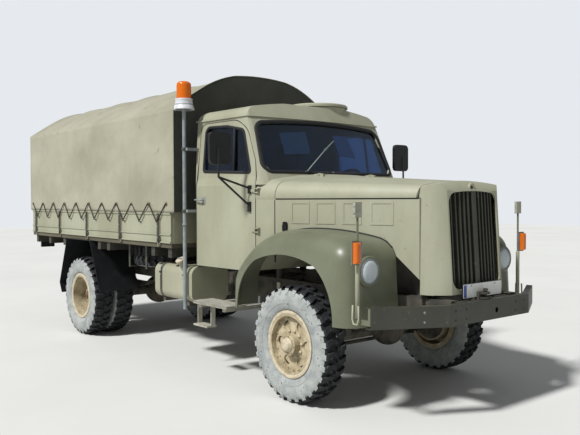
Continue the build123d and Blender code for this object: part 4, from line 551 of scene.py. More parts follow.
def tyre_at(name, centre, turn=None):
    """Carcass and lugs. A matrix turns the tyre about its own centre."""
    profile = CARCASS + [(-y, r) for y, r in reversed(CARCASS)]
    carcass = turned("carcass", profile, 96, wall_rubber)
    carcass.data.materials.append(tread_rubber)
    for face in carcass.data.polygons:
        middle = face.center
        if math.hypot(middle.x, middle.z) > TREAD_FROM_R:
            face.material_index = 1
    beads = [turned("bead", [(side * 0.1225, 0.352), (side * 0.1275, 0.355), (side * 0.1225, 0.358)], 96,
                    wall_rubber)
             for side in (1, -1)]
    lugs = [ring("lugs", lug(1), LUG_COUNT, tread_rubber, (0, 0, 0)),
            ring("lugs", lug(-1), LUG_COUNT, tread_rubber, (0, 0, 0), math.pi / LUG_COUNT)]
    made = joined(name, [carcass] + beads + lugs)
    for face in made.data.polygons:
        if abs(face.center.y) > DUSTY_FROM_Y:
            face.material_index = 0
    made.data.transform(Matrix.Translation(centre) @ (turn or Matrix.Identity(4)))
    return made


AXLE_Z, FRONT_X, REAR_X = 0.505, 2.371, -1.829
FRONT_Y, REAR_INNER_Y, REAR_OUTER_Y = 0.947, 0.755, 1.050
for side_name, side in BOTH_SIDES:
    front = tyre_at("front_tyre_lugged_" + side_name, (FRONT_X, side * FRONT_Y, AXLE_Z),
                    Matrix.Rotation(0.05, 4, "Y"))
    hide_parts("front_tyre_" + side_name)
    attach(front, "front_wheel_" + side_name)
    twins = [tyre_at("twin", (REAR_X, side * y, AXLE_Z), Matrix.Rotation(0.11 * y, 4, "Y"))
             for y in (REAR_INNER_Y, REAR_OUTER_Y)]
    rear = joined("rear_tyres_lugged_" + side_name, twins)
    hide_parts("rear_tyres_" + side_name)
    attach(rear, "rear_wheels_" + side_name)
spare_low, spare_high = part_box("spare_tyre")
spare = tyre_at("spare_tyre_lugged", (spare_low + spare_high) / 2, Matrix.Rotation(math.pi / 2, 4, "X"))
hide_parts("spare_tyre")
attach(spare, "chassis")
print("tyre triangles each", triangles(spare))

# %% [markdown]
# ## The canvas hood
# The hood is stretched over hoops and laced down, so between the hoops it sags a little, and from every
# eyelet short folds run up into it. The cloth is a grid that follows the hoop's outline, moved along its
# normal by those two effects, with its flat length kept as a UV map for the weave. The front and rear are
# flat curtains, and the front one's much darker colour is painted shade.

# %% The hoop's outline
def arc_points(start, middle, end, count):
    """Points on the circle through three points of a plane, the end left out."""
    (ax, ay), (bx, by), (cx, cy) = start, middle, end
    d = 2 * (ax * (by - cy) + bx * (cy - ay) + cx * (ay - by))
    if abs(d) < 1e-12:
        return [(ax + (cx - ax) * i / count, ay + (cy - ay) * i / count) for i in range(count)]
    sa, sb, sc = ax * ax + ay * ay, bx * bx + by * by, cx * cx + cy * cy
    ux = (sa * (by - cy) + sb * (cy - ay) + sc * (ay - by)) / d
    uy = (sa * (cx - bx) + sb * (ax - cx) + sc * (bx - ax)) / d
    r = math.hypot(ax - ux, ay - uy)
    a0, a1, a2 = (math.atan2(y - uy, x - ux) for x, y in (start, middle, end))
    full = 2 * math.pi
    sweep = (a2 - a0) % full
    if (a1 - a0) % full > sweep:
        sweep -= full
    return [(ux + r * math.cos(a0 + sweep * i / count),
             uy + r * math.sin(a0 + sweep * i / count)) for i in range(count)]


HOOD_HALF, HOOD_HEM, HOOD_EAVE, HOOD_TOP = 1.149, 1.6203, 2.722, 3.158
HOOD_REAR, HOOD_FRONT, HOOD_STEP = -3.685, 0.595, 0.034


def hoop(half, eave, top):
    """The hoop from the right hem over the crown to the left one, as points a few centimetres apart."""
    side = [(-half, HOOD_HEM + (eave - HOOD_HEM) * i / 32) for i in range(32)]
    side += arc_points((-half, eave), (-half + 0.150, eave + 0.105), (-half + 0.396, eave + 0.261), 14)
    side += arc_points((-half + 0.396, eave + 0.261), (-half + 0.640, top - 0.062),
                       (-half + 0.790, top - 0.022), 14)
    crown = arc_points((-half + 0.790, top - 0.022), (0, top), (half - 0.790, top - 0.022), 24)
    return side + crown[:12] + [(0.0, top)] + [(-y, z) for y, z in reversed(side + crown[:12])]


outline = hoop(HOOD_HALF, HOOD_EAVE, HOOD_TOP)
run = [0.0]
for (y0, z0), (y1, z1) in zip(outline, outline[1:]):
    run.append(run[-1] + math.hypot(y1 - y0, z1 - z0))
print("hoop points", len(outline), "cloth over the hoop", round(run[-1], 3), "m")

# %% The sagging hood
BOWS = (0.585, -0.30, -1.18, -2.06, -2.94, -3.675)
LACES, LACE_FRONT, LACE_STEP = 11, 0.440, 0.402
EYELET_Z, HOOK_Z = 1.712, 1.532
SAG_ROOF, SAG_SIDE, HELD_NEAR_END = 0.016, 0.008, 0.08
eyelets = [LACE_FRONT - LACE_STEP * i for i in range(LACES)]


def sag(x, z):
    """How far the cloth hangs in between the hoops, most on the roof."""
    for front, rear in zip(BOWS, BOWS[1:]):
        if rear <= x <= front:
            share = (front - x) / (front - rear)
            depth = SAG_ROOF if z > HOOD_EAVE else SAG_SIDE
            return -depth * (4 * share * (1 - share)) ** 0.8
    return 0.0


def folds(x, z, side):
    """Short folds that run up from each eyelet, and long slow creases over the whole side."""
    pull = 0.0
    if z < HOOD_EAVE:
        up = (z - HOOD_HEM) / 0.5
        near = min(abs(x - e) for e in eyelets)
        pull = 0.010 * math.exp(-max(up, 0) ** 1.5) * math.cos(2 * math.pi * near / LACE_STEP)
        pull -= 0.006 * math.exp(-(near / 0.05) ** 2) * math.exp(-max(up, 0))
    slow = noise.fractal(Vector((x * 0.9 + 3.1, side * 5.0 + z * 2.1, 0.4 * x)), 0.8, 2.0, 4)
    crease = noise.noise(Vector((x * 2.2 + z * 1.4, z * 5.0 - x * 1.2, side * 9.0)))
    return pull + 0.008 * slow + 0.005 * crease


columns = round((HOOD_FRONT - HOOD_REAR) / HOOD_STEP)
corners, faces, flat = [], [], []
for i in range(columns + 1):
    x = HOOD_REAR + (HOOD_FRONT - HOOD_REAR) * i / columns
    held = min((x - HOOD_REAR) / HELD_NEAR_END, (HOOD_FRONT - x) / HELD_NEAR_END, 1.0)
    for j, (y, z) in enumerate(outline):
        y0, z0 = outline[max(j - 1, 0)]
        y1, z1 = outline[min(j + 1, len(outline) - 1)]
        length = math.hypot(y1 - y0, z1 - z0)
        normal = Vector((0, -(z1 - z0) / length, (y1 - y0) / length))
        side = 1 if y > 0 else -1
        out = (sag(x, z) + folds(x, z, side) - 0.004) * max(held, 0.15)
        corners.append(Vector((x, y, z)) + normal * out)
        flat.append((x, run[j]))
width = len(outline)
for i in range(columns):
    for j in range(width - 1):
        a = i * width + j
        faces.append((a, a + 1, a + width + 1, a + width))


def cloth(name, corners, faces, flat):
    """A smooth-shaded cloth mesh with its flat UV map."""
    made = mesh_object(name, corners, faces, canvas, smooth=True)
    layer = made.data.uv_layers.new(name="flat")
    for loop in made.data.loops:
        layer.data[loop.index].uv = flat[loop.vertex_index]
    shape = bmesh.new()
    shape.from_mesh(made.data)
    bmesh.ops.recalc_face_normals(shape, faces=shape.faces)
    shape.to_mesh(made.data)
    shape.free()
    return made


def outwards(made, point):
    """Flips an open sheet if its middle face looks towards the point that should be behind it."""
    face = made.data.polygons[len(made.data.polygons) // 2]
    if face.normal.dot(face.center - Vector(point)) < 0:
        made.data.flip_normals()
    return made


def thickened(made, thick):
    solid = made.modifiers.new("thickness", "SOLIDIFY")
    solid.thickness, solid.offset = thick, -1.0
    mesh = baked(made)
    made.modifiers.clear()
    made.data = mesh
    return made


CLOTH_T = 0.003
hood = thickened(outwards(cloth("hood", corners, faces, flat), (-1.5, 0, 2.2)), CLOTH_T)
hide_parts("tarp")
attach(hood, "chassis")
print("hood triangles", triangles(hood))

# %% The front and rear curtains
def top_at(y):
    """The hoop's height above the floor at y."""
    for (y0, z0), (y1, z1) in zip(outline, outline[1:]):
        if y0 <= y <= y1 and y1 > y0:
            return z0 + (z1 - z0) * (y - y0) / (y1 - y0)
    return HOOD_EAVE


def curtain(name, x, facing, hem, half, material):
    """A flat wall of cloth under the hoop, with slow vertical folds that die out at its edges."""
    across, up = 64, 44
    corners, faces, flat, area = [], [], [], 0.0
    for i in range(across + 1):
        y = -half + 2 * half * i / across
        top = min(top_at(y), top_at(-y)) - 0.006
        for j in range(up + 1):
            z = hem + (top - hem) * j / up
            free = min(i / 4, (across - i) / 4, (up - j) / 4, 1.0)
            wave = 0.010 * noise.noise(Vector((y * 2.4, z * 0.7, x))) + 0.004 * math.sin(y * 21 + z * 2)
            corners.append((x - facing * 0.012 + facing * wave * free, y, z))
            flat.append((y, z))
        area += (top - hem) * 2 * half / (across + 1)
    for i in range(across):
        for j in range(up):
            a = i * (up + 1) + j
            faces.append((a, a + 1, a + up + 2, a + up + 1))
    made = thickened(outwards(cloth(name, corners, faces, flat), (x - facing, 0, 2.2)), CLOTH_T)
    made.data.materials[0] = material
    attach(made, "chassis")
    return made


# The front curtain takes the darker canvas as painted shade
front_curtain = curtain("hood_front_curtain", HOOD_FRONT, 1, HOOD_HEM + 0.004, HOOD_HALF - 0.006,
                        painted_shade_canvas)
rear_curtain = curtain("hood_rear_curtain", HOOD_REAR, -1, 1.645, HOOD_HALF - 0.006, canvas)
print("curtains", front_curtain.name, rear_curtain.name)

# %% [markdown]
# ## Lacing
# One rope zigzags between the eyelets in the hem and hooks on the dropsides. It is pulled taut, so it is
# straight between its turning points, and a round section along a chain of points is all it needs.

# %% Ropes, eyelets and hooks
WALL_FACE = 1.135
# columns: across from the middle plane, radius
GROMMET = [(HOOD_HALF - 0.004, 0.011), (HOOD_HALF + 0.003, 0.013), (HOOD_HALF + 0.003, 0.021),
           (HOOD_HALF - 0.004, 0.023)]
for side_name, side in BOTH_SIDES:
    line = []
    for i, x in enumerate(eyelets):
        line.append((x + 0.018, side * (HOOD_HALF + 0.004), EYELET_Z))
        line.append((x - 0.018, side * (HOOD_HALF + 0.004), EYELET_Z))
        if i + 1 < LACES:
            low = x - LACE_STEP / 2
            line.append((low + 0.012, side * (WALL_FACE + 0.026), HOOK_Z))
            line.append((low - 0.012, side * (WALL_FACE + 0.026), HOOK_Z))
    rope = tube_along("lacing_" + side_name, [line], 0.0075, hemp, 6)
    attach(rope, "chassis")
    eye = turned("eye", facing(side, GROMMET), 16, brass, (eyelets[0], 0, EYELET_Z))
    eye = row("hood_eyelets_" + side_name, eye, LACES, (-LACE_STEP, 0, 0), brass)
    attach(eye, "chassis")
    x = eyelets[0] - LACE_STEP / 2
    y = side * WALL_FACE
    hook = tube_along("hook", [[(x, y, HOOK_Z - 0.02), (x, y + side * 0.03, HOOK_Z - 0.016),
                                (x, y + side * 0.034, HOOK_Z + 0.004),
                                (x, y + side * 0.022, HOOK_Z + 0.012)]], 0.005, black_gloss, 6)
    hooks = row("lacing_hooks_" + side_name, hook, LACES - 1, (-LACE_STEP, 0, 0), black_gloss)
    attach(hooks, "chassis")
print("eyelets a side", LACES)

# %% [markdown]
# ## Surfaces of the cab and bonnet
# Seals, beads and catches lie on pressed steel that is already there. Three short rules give the outside of
# the cab's side, the bonnet's side and the screen's surround, and one sweep lays a rounded strip along any
# line on them. That is how a sealing rubber is fitted: one extruded section, pushed on round the whole edge.

# %% Where the panels are, and a strip laid on them
CAB_REAR, CAB_HALF, CAB_TAPER, BELT_Z = 0.721, 1.000, 0.052, 1.975
SCREEN_RAKE = 0.463
COWL_X, SHELL_X, SEAM_Z = 1.985, 3.350, 1.765
STRIP_SECTION = [(-0.5, 0.0), (-0.42, 0.7), (-0.2, 1.0), (0.2, 1.0), (0.42, 0.7), (0.5, 0.0)]


def cab_side(x, z):
    """Half width of the cab's outside: upright below the belt, leaning in above it."""
    half = CAB_HALF - (x - CAB_REAR) * CAB_TAPER
    if z > BELT_Z:
        return half - 0.020 - 0.052 * (z - BELT_Z) / 0.587
    return half - 0.020 * max(z - 1.895, 0) / 0.080


def bonnet_side(x):
    """Half width of the bonnet's outside, which narrows in a straight line to the shell."""
    return 0.895 - 0.395 * (x - COWL_X) / (SHELL_X - COWL_X)


def screen_x(y, z, front=1.865, sides=1.805, half=0.862):
    """The bowed and raked outside of the screen's surround: an arc in plan that leans back as it rises."""
    bow = front - sides
    radius = (half * half + bow * bow) / (2 * bow)
    return front - radius + math.sqrt(radius * radius - y * y) - SCREEN_RAKE * (z - 2.026)


def hit(name, start, way):
    """Where a straight line from start first meets a node."""
    if name not in hit.trees:
        mesh = nodes[name].data
        place = nodes[name].matrix_world
        hit.trees[name] = BVHTree.FromPolygons([place @ v.co for v in mesh.vertices],
                                               [tuple(p.vertices) for p in mesh.polygons])
    return hit.trees[name].ray_cast(Vector(start), Vector(way))[0]


hit.trees = {}


def strip(name, line, up, width, height, material, closed=False, sunk=0.002):
    """A strip with a rounded back along a line. Up is one direction, or one for each point."""
    line = [Vector(p) for p in line]
    ups = [Vector(u).normalized() for u in (up if isinstance(up, list) else [up] * len(line))]
    corners, faces, count, last = [], [], len(STRIP_SECTION), len(line) - 1
    for i, point in enumerate(line):
        before = line[i - 1] if closed or i else line[0]
        after = line[(i + 1) % len(line)] if closed or i < last else line[last]
        across = (after - before).normalized().cross(ups[i]).normalized()
        for u, v in STRIP_SECTION:
            lift = v * height if v else -sunk
            corners.append(point + across * (u * width) + ups[i] * lift)
    for i in range(len(line) if closed else last):
        here, there = i * count, (i + 1) % len(line) * count
        for a in range(count):
            b = (a + 1) % count
            faces.append((here + a, here + b, there + b, there + a))
    if not closed:
        faces += [tuple(range(count)), tuple(last * count + a for a in reversed(range(count)))]
    return face_outwards(mesh_object(name, corners, faces, material, smooth=True))


def rounded_loop(corners, turn_steps=6, side_steps=8):
    """A closed flat outline from corners (across, up, radius), each rounded by its own radius."""
    arcs, count = [], len(corners)
    for i, (y, z, r) in enumerate(corners):
        here = Vector((y, z))
        back = (Vector(corners[i - 1][:2]) - here).normalized()
        on = (Vector(corners[(i + 1) % count][:2]) - here).normalized()
        half = back.angle(on) / 2
        centre = here + (back + on).normalized() * (r / math.sin(half))
        reach = r / math.tan(half)
        start, end = here + back * reach - centre, here + on * reach - centre
        shares = [k / turn_steps for k in range(turn_steps + 1)]
        arcs.append([centre + start.lerp(end, share).normalized() * r for share in shares])
    loop = []
    for i, arc in enumerate(arcs):
        following = arcs[(i + 1) % count][0]
        loop += arc + [arc[-1].lerp(following, k / side_steps) for k in range(1, side_steps)]
    return loop


print("cab half width at the belt", round(cab_side(1.2, 1.9), 3))

# %% [markdown]
# ## Rubber round the glass
# The screen is held by a broad rubber that laps over both the glass and the steel, so from outside the black
# band is wider than the hole behind it. It is made as a band between two rounded outlines, the inner one just
# inside the hole and the outer one on the steel. The door windows have a narrower strip, and an upright bar
# parts each of them.

# %% Windscreen rubber
# columns: across, up, corner radius
SCREEN_INNER = [(-0.858, 2.034, 0.055), (0.858, 2.034, 0.055), (0.800, 2.486, 0.080), (-0.800, 2.486, 0.080)]
SCREEN_OUTER = [(-0.905, 2.003, 0.095), (0.905, 2.003, 0.095), (0.848, 2.522, 0.115), (-0.848, 2.522, 0.115)]
SCREEN_CROWN = 0.034


def on_screen(y, z):
    """The point of the screen's surround at (y, z), on the steel where a straight line meets it."""
    if z > 2.44:
        z += SCREEN_CROWN * max(0.0, 1 - (y / 0.80) ** 2)
    x = screen_x(y, z)
    touch = hit("cab_body", (2.4, y, z), (-1, 0, 0))
    if touch and abs(touch.x - x) < 0.05:
        x = touch.x
    return Vector((x, y, z))


SCREEN_OUT = Vector((1.0, 0.0, SCREEN_RAKE)).normalized()
inner = [on_screen(*p) for p in rounded_loop(SCREEN_INNER)]
outer = [on_screen(*p) for p in rounded_loop(SCREEN_OUTER)]
corners, faces = [], []
for a, b in zip(inner, outer):
    a = Vector((screen_x(a.y, a.z), a.y, a.z))
    corners += [a - SCREEN_OUT * 0.020, a + SCREEN_OUT * 0.003, a.lerp(b, 0.2) + SCREEN_OUT * 0.010,
                a.lerp(b, 0.8) + SCREEN_OUT * 0.010, b + SCREEN_OUT * 0.003, b - SCREEN_OUT * 0.004]
for i in range(len(inner)):
    here, there = i * 6, (i + 1) % len(inner) * 6
    for k in range(6):
        m = (k + 1) % 6
        faces.append((here + k, here + m, there + m, there + k))
screen_rubber = face_outwards(mesh_object("screen_rubber", corners, faces, rubber_seal, smooth=True))
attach(screen_rubber, "chassis")
print("screen rubber points", len(inner))

# %% Door window rubbers and bars
WINDOW = [(0.886, 2.044, 0.030), (1.656, 2.012, 0.022), (1.508, 2.432, 0.075), (1.240, 2.484, 0.250),
          (0.888, 2.497, 0.065)]
BAR_FOOT, BAR_HEAD = (1.392, 2.026), (1.354, 2.470)
for side_name, side in BOTH_SIDES:
    line = [(x, side * (cab_side(x, z) + 0.001), z) for x, z in rounded_loop(WINDOW)]
    rubber = strip("rubber", line, (0, side, 0.09), 0.030, 0.006, rubber_seal, closed=True, sunk=0.010)
    foot, head = ((x, side * (cab_side(x, z) - 0.001), z) for x, z in (BAR_FOOT, BAR_HEAD))
    bar = strip("bar", [foot, head], (0, side, 0.09), 0.022, 0.007, rubber_seal, sunk=0.012)
    frame_rubber = joined("window_rubber_" + side_name, [rubber, bar])
    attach(frame_rubber, "door_" + side_name)
print("window rubbers", 2)

# %% Wiper, boss and two blank sheets behind the glass
WIPER = [(1.850, -0.412, 2.016), (1.755, -0.087, 2.246), (1.712, 0.064, 2.341)]      # pivot, joint, tip
BOSS = (1.868, -0.079, 2.010)
arm = strip("arm", [Vector(p) + SCREEN_OUT * 0.030 for p in WIPER], SCREEN_OUT, 0.012, 0.005, pole_grey)
joint = slab("joint", Vector(WIPER[1]) + SCREEN_OUT * 0.030 - Vector((0.006, 0.016, 0.010)),
             Vector(WIPER[1]) + SCREEN_OUT * 0.030 + Vector((0.008, 0.016, 0.010)), pole_grey)
# columns: along the pivot, radius
PIVOT = [(-0.020, 0.0), (-0.020, 0.020), (0.012, 0.017), (0.030, 0.010), (0.034, 0.0)]
pivots = []
for place, material in ((WIPER[0], black_gloss), (BOSS, pole_grey)):
    pivot = turned("pivot", PIVOT, 16, material, axis="X")
    pivot.data.transform(Matrix.Translation(place) @ Matrix.Rotation(-0.43, 4, "Y"))
    pivots.append(pivot)
wiper = joined("wiper", [arm, joint] + pivots)
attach(wiper, "chassis")

paper_green = finish("faded_green_paper", "C9D0BE", "BCC4B2", rough=0.9, patch_mm=60, grain_mm=2, bump=0.03)
paper_lilac = finish("faded_lilac_paper", "CFCBD6", "C2BECB", rough=0.9, patch_mm=60, grain_mm=2, bump=0.03)
# columns: finish, then (across, up) of the sheet's four corners
PAPER_CELLS = 8
PAPERS = ((paper_green, ((-0.571, 2.417), (-0.239, 2.448), (-0.257, 2.220), (-0.577, 2.202))),
          (paper_lilac, ((0.123, 2.428), (0.333, 2.429), (0.364, 2.194), (0.121, 2.207))))
for number, (material, sheet) in enumerate(PAPERS):
    a, b, c, d = (Vector(p) for p in sheet)
    n, wide = PAPER_CELLS, PAPER_CELLS + 1
    corners, faces = [], []
    for depth in (0.0225, 0.0233):
        for i in range(wide):
            for j in range(wide):
                p = a.lerp(b, i / n).lerp(d.lerp(c, i / n), j / n)
                corners.append(Vector((screen_x(p.x, p.y), p.x, p.y)) - SCREEN_OUT * depth)
    for layer in (0, wide * wide):
        for i in range(n):
            for j in range(n):
                k = layer + i * wide + j
                faces.append((k, k + 1, k + wide + 1, k + wide))
    edge = [i * wide for i in range(n)] + [n * wide + j for j in range(n)]
    edge += [wide * wide - 1 - i * wide for i in range(n)] + list(range(n, 0, -1))
    faces += [(k, m, m + wide * wide, k + wide * wide) for k, m in zip(edge, edge[1:] + edge[:1])]
    sheet = face_outwards(mesh_object("blank_sheet_%d" % number, corners, faces, material))
    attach(sheet, "chassis")
print("wiper arm", round((Vector(WIPER[2]) - Vector(WIPER[0])).length, 3), "m long")

# %% [markdown]
# ## Seams, beads and catches
# Where two panels meet, a rubber or fabric strip stops them from rattling, and from a step away it draws the
# dark lines that give the bonnet its shape. The wing's bead is a round cord in a folded edge. The strip under
# the lid's front edge follows the shell, and its outline is read from the shell itself by straight lines cast
# at it.

# %% Seam strips and wing beads
SEAM_INSET, SEAM_XS = 0.003, (1.992, 2.4, 2.9, 3.344)
BEAD_FROM, BEAD_TO, BEAD_STEPS = 2.04, 3.17, 24
for side_name, side in BOTH_SIDES:
    line = [(x, side * (bonnet_side(x) - SEAM_INSET), SEAM_Z - 0.003) for x in SEAM_XS]
    seam = strip("seam_strip_" + side_name, line, (0, side, 0), 0.0052, 0.0015, rubber_seal, sunk=0.020)
    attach(seam, "chassis")
    line = []
    for i in range(BEAD_STEPS + 1):
        x = BEAD_FROM + (BEAD_TO - BEAD_FROM) * i / BEAD_STEPS
        y = side * (bonnet_side(x) + 0.008)
        top = hit("front_wings", (x, y, 2.0), (0, 0, -1))
        if top:
            line.append(top + Vector((0, 0, 0.002)))
    bead = tube_along("wing_bead_" + side_name, [line], 0.0085, rubber_seal, 8)
    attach(bead, "chassis")
    print("wing bead points", len(line))

# Rubber in the gap round each door, a cord down the cowl's edge, and the strip that the lid rests on
DOOR_REAR, DOOR_FRONT, DOOR_LOW, DOOR_TOP, DOOR_HALF_GAP = 0.800, 1.750, 1.078, 2.534, 0.004
for side_name, side in BOTH_SIDES:
    g = DOOR_HALF_GAP
    rear, front, low, top = DOOR_REAR - g, DOOR_FRONT + g, DOOR_LOW - g, DOOR_TOP + g
    edge = [(rear, low), (1.20, low)] + arc_points((1.550, low), (1.625, 1.186 - g), (front, 1.285 - g), 8)
    edge += [(front, 1.285 - g), (front, 1.5), (front, 1.75), (front, 1.935), (front - 0.040 + g, 2.128),
             (1.618 + g, 2.324)]
    edge += arc_points((1.618 + g, 2.324), (1.575 + g, 2.412), (1.480, 2.484 + g), 6)[1:]
    edge += arc_points((1.480, 2.484 + g), (1.400, 2.522 + g), (1.300, top), 6) + [(1.300, top), (1.1, top)]
    edge += arc_points((rear + 0.090, top), (rear + 0.026, top - 0.026), (rear, top - 0.090), 6)
    edge += [(rear, top - 0.090), (rear, 2.2), (rear, 1.9), (rear, 1.5)]
    line = [(x, side * (cab_side(x, z) - 0.0005), z) for x, z in edge]
    seam = strip("door_rubber_" + side_name, line, (0, side, 0.03), 0.0076, 0.0022, rubber_seal, closed=True,
                 sunk=0.018)
    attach(seam, "chassis")
    line = [(COWL_X - 0.003, side * (bonnet_side(COWL_X) + 0.0005), z) for z in (1.18, 1.45, 1.75)]
    seam = strip("cowl_cord_" + side_name, line, (0, side, 0), 0.010, 0.004, rubber_seal, sunk=0.008)
    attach(seam, "chassis")
    line = [(x, side * (bonnet_side(x) + 0.0003), SEAM_Z - 0.0085) for x in SEAM_XS]
    seam = strip("lid_rest_" + side_name, line, (0, side, 0), 0.0060, 0.0018, rubber_seal, sunk=0.004)
    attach(seam, "chassis")
print("door rubber points", len(edge))

ARCH_X, ARCH_CENTRE = SHELL_X + 0.012, Vector((0.0, 1.45))
arch, arch_out = [], []
for i in range(61):
    angle = math.pi * i / 60
    way = Vector((0, -math.cos(angle), -math.sin(angle) * 0.5))
    start = Vector((ARCH_X, ARCH_CENTRE.x, ARCH_CENTRE.y)) - way * 1.5
    touch = hit("radiator_shell", start, way)
    if touch and touch.z > SEAM_Z - 0.02:
        out = Vector((0, math.cos(angle) * 0.3, 1))
        if abs(touch.y) >= 0.35:
            out = Vector((0, math.copysign(1, touch.y), 0.4))
        arch.append(Vector((SHELL_X + 0.0028, touch.y, touch.z)))
        arch_out.append(out.normalized())
arch = [p - n * 0.010 for p, n in zip(arch, arch_out)]
lid_strip = strip("lid_front_strip", arch, arch_out, 0.0050, 0.006, rubber_seal, sunk=0.010)
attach(lid_strip, "chassis")
print("lid strip points", len(arch))

# %% Bonnet catches and door handles
CATCH_X, CATCH_LOW, CATCH_HIGH = 2.095, 1.463, 1.553
HANDLE_X, HANDLE_Z = 0.925, 1.752
# columns: height above the seat, radius
BOLT = [(0.0, 0.0), (0.0, 0.008), (0.005, 0.008), (0.007, 0.005), (0.007, 0.0)]
LOCK = [(0, 0.0), (0, 0.011), (0.008, 0.010), (0.008, 0.0)]
for side_name, side in BOTH_SIDES:
    out = bonnet_side(CATCH_X)
    y = side * out
    plate = side_slab("plate", side, (CATCH_X - 0.028, out, CATCH_LOW),
                      (CATCH_X + 0.028, out + 0.016, CATCH_HIGH), black_gloss, 0.004)
    lever = tube_along("lever", [[(CATCH_X, y + side * 0.018, CATCH_HIGH - 0.01),
                                  (CATCH_X, y + side * 0.034, CATCH_HIGH - 0.03),
                                  (CATCH_X, y + side * 0.030, CATCH_LOW + 0.012)]], 0.006, black_gloss)
    catch = joined("bonnet_catch_" + side_name, [plate, lever])
    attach(catch, "chassis")
    out = cab_side(HANDLE_X, HANDLE_Z)
    face = side * out
    plate = side_slab("plate", side, (HANDLE_X - 0.028, out, HANDLE_Z - 0.045),
                      (HANDLE_X + 0.028, out + 0.005, HANDLE_Z + 0.030), pole_grey, 0.002)
    grip = tube_along("grip", [[(HANDLE_X, face, HANDLE_Z), (HANDLE_X, face + side * 0.030, HANDLE_Z),
                                (HANDLE_X - 0.018, face + side * 0.040, HANDLE_Z),
                                (HANDLE_X - 0.118, face + side * 0.034, HANDLE_Z + 0.004)]], 0.0095,
                      pole_grey, 10)
    lock = turned("lock", facing(side, LOCK), 16, brass,
                  (HANDLE_X, face + side * 0.004, HANDLE_Z - 0.030))
    handle = joined("door_handle_" + side_name, [plate, grip, lock])
    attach(handle, "door_" + side_name)
print("catches and handles", 2 * len(BOTH_SIDES))

# %% [markdown]
# ## The front's fittings
# The headlight is a silvered dish behind a pressed lens, both turned from a short outline. The lens has
# upright ribs that spread the beam. The bumper is held by square groups of bolts, and the plate stands on a
# bracket behind it and stays blank.

# %% Headlights
LAMP_X, LAMP_Y, LAMP_Z = 3.197, 0.907, 1.188
# columns: ahead of the lamp's face, radius
DISH = [(-0.010, 0.0905), (-0.028, 0.080), (-0.046, 0.060), (-0.056, 0.036), (-0.060, 0.0), (-0.058, 0.0),
        (-0.054, 0.035), (-0.044, 0.059), (-0.026, 0.079), (-0.009, 0.089)]
LENS = [(-0.006, 0.0915), (0.004, 0.0905), (0.014, 0.066), (0.019, 0.036), (0.0205, 0.0), (0.0165, 0.0),
        (0.015, 0.036), (0.010, 0.066), (0.0, 0.0885), (-0.006, 0.0885)]
TRIM = [(-0.004, 0.0920), (0.004, 0.0920), (0.0065, 0.0960), (0.004, 0.1010), (0.0015, 0.1010),
        (0.0015, 0.0985), (-0.004, 0.0985)]
BULB = [(-0.058, 0.0), (-0.058, 0.014), (-0.030, 0.014), (-0.020, 0.010), (-0.014, 0.0)]
RIB_COUNT, RIB_STEP = 13, 0.012
for side_name, side in BOTH_SIDES:
    centre = (LAMP_X, side * LAMP_Y, LAMP_Z)
    parts = [turned("lens", LENS, 40, lamp_glass, centre, "X")]
    for i in range(RIB_COUNT):
        y = (i - (RIB_COUNT - 1) / 2) * RIB_STEP
        half = math.sqrt(0.083 ** 2 - y * y)
        line = [(LAMP_X + 0.0205 - 0.016 * ((y * y + z * z) / 0.0905 ** 2) - 0.0035, side * LAMP_Y + y,
                 LAMP_Z + z)
                for z in (-half, -half / 2, 0, half / 2, half)]
        parts.append(tube_along("rib", [line], 0.0022, lamp_glass, 6))
    lens_piece = joined("headlight_lens_" + side_name, parts)
    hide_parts("headlight_glass")
    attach(lens_piece, "chassis")
    dish = joined("headlight_reflector_" + side_name,
                  [turned("dish", DISH, 40, polished, centre, "X"),
                   turned("bulb", BULB, 20, polished, centre, "X"),
                   turned("trim", TRIM, 48, pole_grey, centre, "X")])
    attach(dish, "chassis")
print("headlights", 2)

# %% Number plate, bumper bolts and the grille's boss
PLATE_AT, PLATE_HALF, PLATE_HALF_HEIGHT = Vector((3.598, 0.0, 1.0135)), 0.260, 0.055
plate_blue = finish("blue_reflective_film", "2C4C9A", "27438A", rough=0.4, patch_mm=80, grain_mm=2, bump=0.03)
reach = Vector((0.0012, PLATE_HALF, PLATE_HALF_HEIGHT))
blue_from, blue_to = PLATE_AT + Vector((0.0003, -PLATE_HALF + 0.004,
                                        -0.050)), PLATE_AT + Vector((0.0017, -0.218, 0.050))
parts = [slab("plate", PLATE_AT - reach, PLATE_AT + reach, plate_white, 0.0008),
         slab("band", blue_from, blue_to, plate_blue, 0.0004)]
back_low = PLATE_AT - Vector((0.013, PLATE_HALF + 0.006, PLATE_HALF_HEIGHT + 0.006))
back_high = PLATE_AT + Vector((-0.0014, PLATE_HALF + 0.006, PLATE_HALF_HEIGHT + 0.006))
parts.append(slab("holder", back_low, back_high, black_gloss, 0.004))
for y in (-0.16, 0.16):
    parts.append(slab("leg", (3.583, y - 0.014, 0.936), (3.589, y + 0.014, 1.05), chassis_black, 0.002))
    parts.append(turned("bolt", BOLT, 8, pole_grey, (PLATE_AT.x + 0.001, y, PLATE_AT.z + 0.042), "X"))
number_plate = joined("number_plate", parts)
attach(number_plate, "chassis")

BUMPER_FACE, BOLT_SUNK, BOLT_ZS, BOLT_GROUP_Y, BOLT_APART = 3.685, 0.0075, (0.818, 0.893), 0.402, 0.067
END_BOLT_AT, END_SWEEP = (3.588 - 0.008, 0.715), math.atan2(0.30, 0.55)
# columns: out from the bumper's face, radius
WASHER = [(-0.002, 0.0), (-0.002, 0.017), (0.0, 0.017), (0.0, 0.0)]
HEX_HEAD = [(0.0, 0.0), (0.0, 0.011), (0.0065, 0.011), (0.0075, 0.008), (0.0075, 0.0)]
DOMED_HEAD = [(0.0, 0.0), (0.0, 0.013), (0.004, 0.013), (0.009, 0.006), (0.009, 0.0)]
